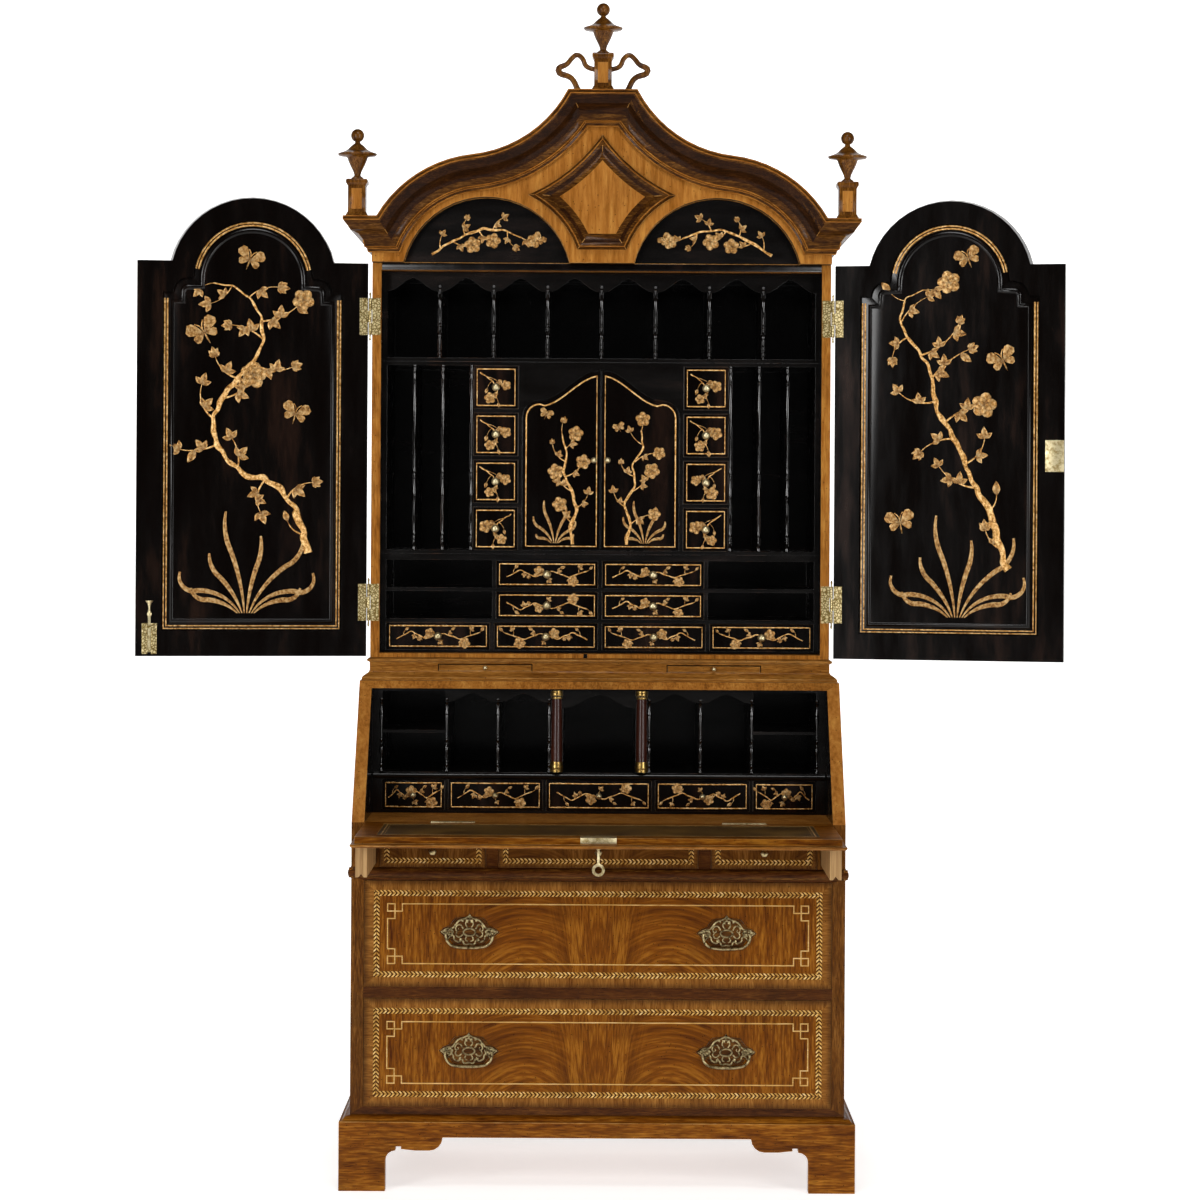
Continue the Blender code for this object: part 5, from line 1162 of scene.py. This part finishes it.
def dress_drawers():
    """The inlaid walnut drawers, and the lacquered ones with their gilding and knobs."""
    chance = random.Random(7)
    for level in ("lower", "upper"):
        node = f"{level}_long_drawer"
        low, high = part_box(node)
        front = inlaid_walnut(node, (low.x, low.z), (high.x, high.z), "front", 26, 12)
        dress_drawer(node, "walnut", front, FRONT)
        inlay_stringing(node)
    for side in ("left", "middle", "right"):
        node = f"frieze_drawer_{side}"
        low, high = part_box(node)
        front = inlaid_walnut(node, (low.x, low.z), (high.x, high.z), "frieze", 14, 11)
        dress_drawer(node, "walnut", front, FRONT)
    for node in small_drawers():
        desk = node.startswith("desk")
        face = DESK_FRONT if desk else FITMENT_FRONT
        dress_drawer(node, "black_lacquer", DOOR_LACQUER, face)
        gild_drawer(node, face, chance)
        centre = middle_at(node, face - DESK_BOW if desk else face)
        radius = 0.0066 if desk else 0.0088
        turn_knob(f"{node}.knob", body_of(node), [centre], radius, KNOB_LENGTH)


# The key-fret corner of the drawers' stringing: millimetres in from the side and from the top or bottom
KEY_FRET = ((49, 79.6), (64.5, 79.6), (64.5, 48.6), (49, 48.6), (49, 64), (80, 64), (80, 48.6))


def inlay_stringing(node):
    """A line of pale box wood let into a long drawer's front, with a key fret at each corner."""
    low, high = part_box(node)
    half_u, half_v = (high.x - low.x) / 2, (high.z - low.z) / 2
    corner = [(half_u - u * MM, half_v - v * MM) for u, v in KEY_FRET]
    points = corner + [(-u, v) for u, v in reversed(corner)]
    points += [(-u, -v) for u, v in corner] + [(u, -v) for u, v in reversed(corner)]
    line = strip(points, 0.0034, 0.0002, closed=True)
    line.name = f"{node}.stringing"
    line.data.transform(facing(0, FRONT, (low.z + high.z) / 2))
    seat(cover(line, BOX_STRING, 30), body_of(node))


# Handles

# The right half of a handle's pierced plate, as (u, v, radius) lines in millimetres from its middle
PLATE_LINES = (
    ((0, 34, 2.0), (10, 29, 2.0), (22, 24, 2.2), (29, 16, 2.2), (35, 9, 2.0), (46, 8, 1.8), (59, 1, 1.6)),
    ((59, 1, 1.6), (50, -6, 1.8), (47, -15, 1.6), (41, -9, 1.5))
    + ((34, -7, 1.8), (31, -16, 1.8), (22, -21, 2.0)),
    ((22, -21, 2.0), (15, -17, 1.8), (10, -25, 2.0), (0, -24, 2.0)),
    ((13, 7, 1.8), (20, 16, 1.8), (28, 11, 1.7), (27, 3, 1.5), (22, 4, 1.2), (23, 8, 1.0)),
    ((14, -5, 1.8), (22, -10, 1.8), (28, -5, 1.6), (26, 1, 1.3)),
    ((6, -9, 1.6), (8, -16, 1.6), (3, -19, 1.4)),
    ((4, 10, 1.6), (8, 17, 1.6), (5, 24, 1.6), (0, 27, 1.4)),
)
# Its leaves: (u, v, the way that the tip points, length)
PLATE_LEAVES = ((0, 27, 90, 12), (3, 20, 60, 9), (44, 3, 0, 14))
PLATE_LEAVES += ((13, 22, 60, 8), (16, -12, -60, 9), (38, 0, 90, 8))


def cast_plate():
    """The pierced backplate: rim, oval, paired scrolls and leaves, and rosettes at the posts."""
    oval = [(0.0125 * math.cos(a), 0.0075 * math.sin(a)) for a in [math.pi * i / 14 for i in range(28)]]
    pieces = [strip(oval, 0.0042, 0.0020, closed=True)]
    for hand in (-1, 1):
        for line in PLATE_LINES:
            pieces.append(stem([(hand * u, v, radius) for u, v, radius in in_mm(line)], 1.0))
        for u, v, turn, size in PLATE_LEAVES:
            heading = turn if hand > 0 else 180 - turn
            pieces.append(stamp(LEAF, lying(hand * u * MM, v * MM, heading, size * MM, 0.0012)))
        pieces.append(stamp(BLOSSOM, lying(hand * POST_SPACING / 2, 0.0, 90, 0.0075, 0.001)))
    return join("handle_plate", pieces)


# The swan-neck bail's right half: millimetres from its middle and below its pins, and its radius
SWAN_NECK = ((44.8, 0, 2.5), (46.6, 0, 2.5), (49, -9.3, 2.6), (39.2, -25.4, 2.8), (20.6, -30.4, 3.1))


def dress_handles():
    """Pierced plates on the long drawers, and the swan-neck bails that stand for the solid ones."""
    pattern = cast_plate()
    half = in_mm(SWAN_NECK)
    neck = [(-u, v, r) for u, v, r in half] + [(0.0, -0.0310, 0.0034)] + list(reversed(half))
    for level in ("lower", "upper"):
        node = f"{level}_long_drawer"
        low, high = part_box(node)
        rise = (low.z + high.z) / 2 + HANDLE_RISE
        copies = []
        for hand, side in ((-1, "left"), (1, "right")):
            copies.append(stamp(pattern, facing(hand * HANDLE_X, FRONT - PLATE_THICK + 0.0003, rise)))
            bail = stem(neck, 1.0)
            bail.name = f"{level}_long_bail_{side}.swan_neck"
            bail.data.transform(facing(hand * HANDLE_X, FRONT - POST_LENGTH * 0.75, rise))
            bail_node = f"{level}_long_bail_{side}"
            seat(cover(bail, BRONZE, 60), body_of(bail_node), bail_node)
        plates = join(f"{node}.handle_plates", copies)
        seat(cover(plates, BRONZE, 50), body_of(node))
    bpy.data.objects.remove(pattern)


# Main doors


def arc(centre_u, centre_v, radius, start, end, count):
    """Points along an arc, its angles in radians."""
    steps = [start + (end - start) * number / count for number in range(count + 1)]
    return [(centre_u + radius * math.cos(a), centre_v + radius * math.sin(a)) for a in steps]


def panel_outline(inset):
    """The shaped panel's outline from the middle of the door, drawn in by inset."""
    half = DOOR_WIDTH / 2 - PANEL_MARGIN - inset
    radius = ARCH_RADIUS - PANEL_MARGIN - inset
    cove = PANEL_COVE - inset
    cove_u = ARCH_RADIUS - PANEL_MARGIN + 0.009
    foot = math.asin((PANEL_STEP_Z + cove - ARCH_Z) / radius)
    step = PANEL_STEP_Z - inset
    right = [(half, PANEL_BOTTOM + inset), (half, step), (cove_u + cove, step)]
    right += arc(cove_u, PANEL_STEP_Z, cove, 0.2, math.pi / 2, 5)
    right += arc(0, ARCH_Z, radius, foot, math.pi / 2, 14)
    return right + [(-u, v) for u, v in reversed(right[:-1])]


def panel_beads(side):
    """Two gilt beads down each side, along the bottom and round the arch, in the panel's channel."""
    pieces = []
    for inset, sunk in ((0.0045, 0.0066), (0.0105, 0.0058)):
        half = DOOR_WIDTH / 2 - PANEL_MARGIN - inset
        top = PANEL_STEP_Z - 0.014
        sides = [(half, top), (half, PANEL_BOTTOM + inset), (-half, PANEL_BOTTOM + inset), (-half, top)]
        radius = ARCH_RADIUS - PANEL_MARGIN - inset
        head = arc(0, ARCH_Z, radius, 0.20, math.pi - 0.20, 40)
        for points in (sides, head):
            bead = strip(points, 0.0042, 0.0016)
            bead.data.transform(Matrix.Translation((0, 0, -sunk)))
            pieces.append(bead)
    gild(f"{side}_door.gilt_beads", f"{side}_door", pieces, door_face(side))


SLIM = 0.76
# Each door's own branch: (u, v, radius) in millimetres from the foot of its field, then its twigs.
# It is drawn SLIM times as thick.
BRANCHES = {
    "left": (
        ((122, 140, 10.5), (110, 190, 10), (94, 236, 9.5), (62, 280, 9), (20, 300, 8.5), (-22, 312, 8))
        + ((-58, 342, 8), (-80, 388, 7.5), (-82, 436, 7), (-62, 482, 6.5), (-30, 520, 6), (2, 556, 5.5))
        + ((22, 602, 5), (18, 650, 4.2), (-6, 690, 3.4), (-44, 716, 2.6), (-84, 722, 1.8)),
        ((0.05, 165, 48, -60, "i"), (0.16, 55, 66, -60, "lb"), (0.24, 235, 74, 70, "lll"))
        + ((0.33, 80, 70, 50, "ll"), (0.42, 205, 84, -40, "lil"), (0.49, 140, 86, -75, "ll"))
        + ((0.55, 15, 88, 55, "llf"), (0.62, 160, 70, -60, "lb"), (0.68, 330, 92, 60, "llb"))
        + ((0.75, 140, 76, 40, "llb"), (0.80, 10, 104, 45, "llif"), (0.88, 40, 70, -50, "lb"))
        + ((0.94, 240, 62, -50, "ll"), (1.0, 185, 34, 50, "l")),
    ),
    "right": (
        ((126, 110, 10.5), (114, 164, 10), (98, 216, 9.5), (76, 262, 9), (50, 304, 8.5), (34, 354, 8))
        + ((10, 400, 7.5), (-18, 440, 7), (-36, 490, 6.5), (-40, 540, 6), (-66, 584, 5), (-94, 616, 4))
        + ((-108, 656, 3), (-94, 698, 2.2), (-58, 716, 1.6)),
        ((0.06, 150, 58, -50, "lb"), (0.18, 40, 40, 60, "i"), (0.26, 170, 96, -50, "lll"))
        + ((0.34, 30, 70, 60, "ll"), (0.42, 180, 80, 50, "lb"), (0.48, 40, 96, -40, "llf"))
        + ((0.55, 190, 84, -60, "ll"), (0.62, 50, 104, -30, "llib"), (0.70, 20, 110, 50, "lllb"))
        + ((0.78, 210, 56, 60, "lb"), (0.84, 60, 80, -40, "ll"), (0.92, 170, 40, -50, "i"))
        + ((1.0, 0, 60, 40, "lf"),),
    ),
}
# Each door's butterflies: (u, v, length) in millimetres and the way that the head points
MOTHS = {
    "left": ((-104, 614, 40, 120), (-8, 772, 34, 70), (92, 440, 34, 75)),
    "right": ((116, 562, 36, 115), (-104, 212, 36, 100), (40, 782, 32, 110)),
}
# The doors' grass: (heading, length in millimetres, bend)
TUFT = (
    ((140, 120, 40), (128, 175, 58), (112, 150, 24), (96, 225, 16), (84, 170, -14), (66, 215, -34))
    + ((52, 180, -62), (40, 120, -40))
)


def gild_doors():
    """Each main door's branch, butterflies and grass, and its gilt beads."""
    field = Matrix.Translation((0, PANEL_BOTTOM + PANEL_FIELD, 0))
    # The paste is kept under 5 mm high, so that it clears the hood when the doors are closed.
    low_relief = Matrix.Diagonal((1, 1, 0.75, 1))
    for side, seed in (("left", 11), ("right", 23)):
        chance = random.Random(seed)
        trunk, twigs = BRANCHES[side]
        slim = [(u, v, radius * SLIM) for u, v, radius in in_mm(trunk)]
        pieces = grow_branch(slim, scaled_twigs(twigs, MM), DOOR_LEAF, chance)
        for u, v, size, turn in MOTHS[side]:
            pieces.append(stamp(MOTH, lying(u * MM, v * MM, turn, size * MM)))
        pieces += grow_tuft(-0.010 if side == "left" else 0.020, 0.010, TUFT, 0.0042)
        place = door_face(side, PANEL_FIELD_BACK) @ field @ low_relief
        gild(f"{side}_door.gilding", f"{side}_door", pieces, place)
        panel_beads(side)


def dress_doors():
    """Walnut outside; black lacquer inside, with a glossy moulding round each shaped panel."""
    for side in ("left", "right"):
        to_face = door_face(side).inverted()

        def frame_finish(centre, normal):
            place = to_face @ centre
            if place.z > 0.0002 or abs(place.x) > DOOR_WIDTH / 2 + 0.0005:
                return 3
            return 1 if normal.y > 0.7 else 0

        finishes = [DOOR_LACQUER, CASE_WALNUT, WORN_AND_HIGHLIT_LACQUER, ENGRAVED_BRASS]
        dress(f"{side}_door_frame", finishes, frame_finish, ease=0.0008, smooth=12, worn=2)
        dress(f"{side}_door_panel", finishes, frame_finish, 0.0003, smooth=12)
        moulding = strip(panel_outline(0.0215), 0.0135, 0.0036, closed=True)
        moulding.name = f"{side}_door.moulding"
        moulding.data.transform(door_face(side, PANEL_FIELD_BACK + 0.0010))
        seat(cover(moulding, DOOR_LACQUER, 60), f"{side}_door")
        for level in ("lower", "upper"):
            dress(f"hinge_{side}_{level}", [ENGRAVED_BRASS], ease=0, smooth=50)
    dress("left_door_bolt", [PALE_BRASS], ease=0.0002)
    gild_doors()
    fit_door_brasses()


def fit_door_brasses():
    """The left door's bolt plate and pin, and the right door's lock plate."""
    bolt_u, bolt_v = BOLT_FROM_EDGE - DOOR_WIDTH / 2, UPPER_Z + 0.040
    pieces = []
    for hand in (-1, 1):
        rail = plate("bolt_rail", 0.0125, 0.066, 0.0026)
        rail.data.transform(Matrix.Translation((bolt_u + hand * 0.0098, bolt_v, -0.0002)))
        strap = plate("bolt_strap", 0.032, 0.006, 0.0010, 0.0003)
        strap.data.transform(Matrix.Translation((bolt_u, bolt_v + hand * 0.025, 0.0040)))
        pieces += [rail, strap]
    bolt_plate = join("left_door.bolt_plate", pieces)
    bolt_plate.data.transform(door_face("left"))
    seat(cover(bolt_plate, ENGRAVED_BRASS), "left_door")
    flare = [(0, 0), (0.0034, 0), (0.0026, 0.006), (0.0030, 0.012), (0.0048, 0.018), (0.0082, 0.022)]
    flare += [(0.0086, 0.0236), (0.0, 0.0240)]
    grip = turn_profile("left_door_bolt.grip", flare, 20)
    up = Matrix.Rotation(-math.pi / 2, 4, "X")
    grip.data.transform(door_face("left") @ Matrix.Translation((bolt_u, UPPER_Z + 0.098, 0.0025)) @ up)
    seat(cover(grip, PALE_BRASS, 40), "left_door_bolt")
    lock = plate("right_door.lock_plate", 0.040, 0.068, 0.0010)
    place = Matrix.Translation((DOOR_WIDTH / 2 - LOCK_FROM_EDGE, DOOR_LOCK_Z, 0))
    lock.data.transform(door_face("right") @ place)
    seat(cover(lock, PALE_BRASS), "right_door")


# Lunettes and cupboard doors


def gild_lunettes():
    """A spray and a butterfly in each lunette, the right one the mirror of the left."""
    chance = random.Random(31)
    trunk = in_mm(
        ((-118, 20, 3.2), (-84, 42, 3), (-48, 62, 2.8), (-8, 74, 2.5), (34, 72, 2.1), (74, 56, 1.6))
    )
    twigs = ((0.1, 100, 30, -40, "l"), (0.25, -30, 46, 50, "lf"), (0.4, 110, 34, -60, "lb"))
    twigs += ((0.55, -60, 40, 60, "lf"), (0.7, 70, 34, -50, "ll"))
    twigs += ((0.85, -90, 36, 60, "lb"), (1.0, -30, 30, 40, "lf"))
    for hand, side in ((-1, "left"), (1, "right")):
        path = [(-hand * u, v, radius) for u, v, radius in trunk]
        sprays = [
            (share, 180 - heading if hand > 0 else heading, length * MM, -hand * bend, kinds)
            for share, heading, length, bend, kinds in twigs
        ]
        pieces = grow_branch(path, sprays, SMALL_LEAF, chance)
        pieces.append(stamp(MOTH, lying(-hand * 0.112, 0.052, 90 + 40 * hand, 0.017)))
        # The paste is only 0.7 mm high here, so that the closed doors clear it.
        low = Matrix.Diagonal((1, 1, 0.18, 1))
        place = facing(hand * ARCH_X, UPPER_FRONT - LUNETTE_PROUD, HOOD_Z) @ low
        gild(f"{side}_lunette.gilding", "case", pieces, place)


def cupboard_line(inset):
    """The right-hand cupboard door's outline from its inner lower corner, drawn in by inset."""
    side = CUPBOARD_BOTTOM + CUPBOARD_SIDE
    shoulder = CUPBOARD_HALF - CUPBOARD_COVE
    points = [(inset, CUPBOARD_BOTTOM + inset), (CUPBOARD_HALF - inset, CUPBOARD_BOTTOM + inset)]
    points += arc(shoulder, side, CUPBOARD_COVE - inset, 0, math.pi / 2, 6)
    for number in range(1, 13):
        rise = CUPBOARD_RISE * (0.5 - 0.5 * math.cos(math.pi * number / 12))
        u = max(shoulder * (1 - number / 12), inset)
        points.append((u, side + CUPBOARD_COVE + rise - 1.5 * inset))
    return points


# Each cupboard door's branch and twigs, as for the main doors
CUPBOARD_SPRAYS = {
    "left": (
        ((26, 14, 4.2), (22, 52, 3.8), (34, 92, 3.4), (22, 134, 3))
        + ((4, 172, 2.6), (12, 212, 2.2), (2, 250, 1.6)),
        ((0.2, 140, 50, -40, "lf"), (0.34, 30, 40, 50, "ll"), (0.48, 150, 58, -50, "llf"))
        + ((0.62, 20, 52, 50, "lf"), (0.76, 150, 50, -60, "lb"))
        + ((0.88, 40, 40, 40, "lf"), (1.0, 100, 30, -30, "b")),
    ),
    "right": (
        ((-30, 14, 4.2), (-22, 58, 3.8), (-32, 104, 3.4), (-12, 142, 3))
        + ((-16, 186, 2.5), (6, 226, 2), (2, 262, 1.5)),
        ((0.16, 40, 60, -40, "lf"), (0.30, 150, 44, -50, "ll"), (0.44, 30, 66, 40, "llf"))
        + ((0.58, 160, 40, -60, "lb"), (0.70, 40, 58, -50, "lf"))
        + ((0.86, 150, 40, -40, "l"), (1.0, 70, 26, 30, "f")),
    ),
}
CUPBOARD_MOTHS = {"left": (-34, 296, 17, 70), "right": (-46, 268, 15, 110)}
CUPBOARD_TUFT = ((134, 42, 50), (116, 74, 34), (98, 96, 18), (80, 84, -20), (62, 66, -40), (46, 42, -50))


def gild_cupboards():
    """Each cupboard door's branch, butterfly, grass and outline, and its knob."""
    face = FITMENT_FRONT + 0.001
    chance = random.Random(47)
    for hand, side in ((-1, "left"), (1, "right")):
        trunk, twigs = CUPBOARD_SPRAYS[side]
        pieces = grow_branch(in_mm(trunk), scaled_twigs(twigs, MM), SMALL_LEAF, chance)
        u, v, size, turn = CUPBOARD_MOTHS[side]
        pieces.append(stamp(MOTH, lying(u * MM, v * MM, turn, size * MM)))
        pieces += grow_tuft(hand * 0.012, 0.016, CUPBOARD_TUFT, 0.0026)
        for piece in pieces:
            piece.data.transform(Matrix.Translation((hand * CUPBOARD_HALF / 2, CUPBOARD_BOTTOM, 0)))
        outline = [(hand * u, v) for u, v in cupboard_line(0.009)]
        pieces.append(strip(outline, 0.0030, 0.0006, closed=True))
        node = f"cupboard_door_{side}"
        body = body_of(node)
        gild(f"{node}.gilding", body, pieces, facing(0, face, 0))
        knob_z = CUPBOARD_BOTTOM + CUPBOARD_SIDE * 0.68
        turn_knob(f"{node}.knob", body, [(hand * CUPBOARD_KNOB_X, face, knob_z)], 0.0067, KNOB_LENGTH)


# Fall


def dress_fall():
    """The fall with its tooled leather, its lock plate, its hinges and its key."""
    dress("fall_front", [FALL_WALNUT, WORN_AND_HIGHLIT_WALNUT], ease=0.0012, worn=1)
    dress("writing_leather", [HIDE], ease=0.0002)
    dress("fall_key", [PALE_BRASS], ease=0.0002, smooth=50)
    low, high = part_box("writing_leather")
    half_u, half_v = (high.x - low.x) / 2, (high.y - low.y) / 2
    lines = []
    for inset, width in ((0.008, 0.0030), (0.014, 0.0012)):
        u, v = half_u - inset, half_v - inset
        lines.append(strip(((-u, -v), (u, -v), (u, v), (-u, v)), width, 0.00012, closed=True))
    middle = Matrix.Translation(((low.x + high.x) / 2, (low.y + high.y) / 2, high.z))
    tooling = join("writing_leather.tooling", lines)
    tooling.data.transform(middle)
    seat(cover(tooling, GOLD, 30), "fall")
    brasses = []
    for hand in (-1, 1):
        strap = plate("fall_hinge", 0.092, 0.016, 0.0022, 0.0006)
        place = (hand * FALL_HINGE_X, HINGE_Y - FALL_HINGE_IN, WRITING_Z - LET_IN)
        strap.data.transform(Matrix.Translation(place))
        brasses.append(strap)
    lock_y = FALL_EDGE_Y + FALL_LOCK_IN
    cap = plate("fall_lock_cap", FALL_LOCK_WIDTH, 0.0454, 0.0005, 0.0002)
    cap.data.transform(Matrix.Translation((0, lock_y + 0.0222, WRITING_Z - LET_IN)))
    face = plate("fall_lock_face", FALL_LOCK_WIDTH, 0.0130, 0.0005, 0.0002)
    face.data.transform(facing(0, lock_y + LET_IN, WRITING_Z - 0.0060))
    brasses += [cap, face]
    seat(cover(join("fall_front.brasses", brasses), PALE_BRASS), "fall")


def turn_slide_knobs():
    """A small brass knob on each candle slide."""
    for side in ("left", "right"):
        node = f"candle_slide_{side}"
        place = middle_at(node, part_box(node)[0].y + SLIDE_KNOB)
        turn_knob(f"{node}.knob", body_of(node), [place], 0.0048, SLIDE_KNOB + 0.0002)


def make_studio():
    """A white paper sweep, soft lamps to the sides and above, and the camera."""
    bpy.ops.object.select_all(action="DESELECT")
    bpy.ops.mesh.primitive_plane_add(size=1, location=(0, 0, 0))
    sweep = bpy.context.object
    sweep.name = "paper_sweep"
    bpy.ops.object.mode_set(mode="EDIT")
    bpy.ops.transform.resize(value=(36, 28, 1))
    bpy.ops.object.mode_set(mode="OBJECT")
    pick(sweep, lambda co: co.y > 0)
    bpy.ops.mesh.select_mode(type="EDGE")
    bpy.ops.mesh.extrude_region_move(TRANSFORM_OT_translate={"value": (0, 0, 14)})
    bpy.ops.object.mode_set(mode="OBJECT")
    sweep.data.transform(Matrix.Translation((0, 3.0, 0)))
    apply_modifier(sweep, "BEVEL", width=2.0, segments=24)
    bpy.ops.object.shade_smooth()
    sweep.data.materials.append(glowing_studio_paper())

    lamps = (
        ("left_softbox", (-3.2, -4.6, 2.4), (0, 0, 1.2), 1.6, 95.0),
        ("right_softbox", (3.4, -4.4, 2.2), (0, 0, 1.2), 1.6, 80.0),
        ("top_softbox", (0, -3.0, 5.0), (0, 0, 1.2), 1.6, 66.0),
        ("left_low_lamp", (-2.6, -4.4, 0.55), (0, 0, 0.5), 0.8, 24.0),
        ("right_low_lamp", (2.6, -4.4, 0.55), (0, 0, 0.5), 0.8, 24.0),
    )
    for name, place, target, size, power in lamps:
        lamp = bpy.data.lights.new(name, "AREA")
        lamp.energy = power
        lamp.size = size
        holder = bpy.data.objects.new(name, lamp)
        holder.location = place
        holder.rotation_euler = (Vector(target) - Vector(place)).to_track_quat("-Z", "Y").to_euler()
        bpy.context.scene.collection.objects.link(holder)
    world = bpy.data.worlds.new("studio")
    bpy.context.scene.world = world
    world.use_nodes = True
    world.node_tree.nodes["Background"].inputs["Color"].default_value = (1, 1, 1, 1)
    world.node_tree.nodes["Background"].inputs["Strength"].default_value = 0.035

    camera = bpy.data.objects.new("camera", bpy.data.cameras.new("camera"))
    bpy.context.scene.collection.objects.link(camera)
    camera.data.lens = 100
    camera.data.sensor_width = 36
    camera.data.shift_y = -0.075
    camera.location = (-0.001, FRONT - 7.0, 1.429)
    camera.rotation_euler = (math.pi / 2, math.radians(-0.336), 0)
    bpy.context.scene.camera = camera
    bpy.context.scene.view_settings.view_transform = "Standard"


dress_carcase()
make_finials()
dress_fitments()
dress_drawers()
dress_handles()
dress_doors()
gild_lunettes()
gild_cupboards()
dress_fall()
turn_slide_knobs()
for pattern in (LEAF, PETAL, WING, MOTH_BODY, TREFOIL, BLOSSOM, BUD, MOTH):
    bpy.data.objects.remove(pattern)
make_studio()
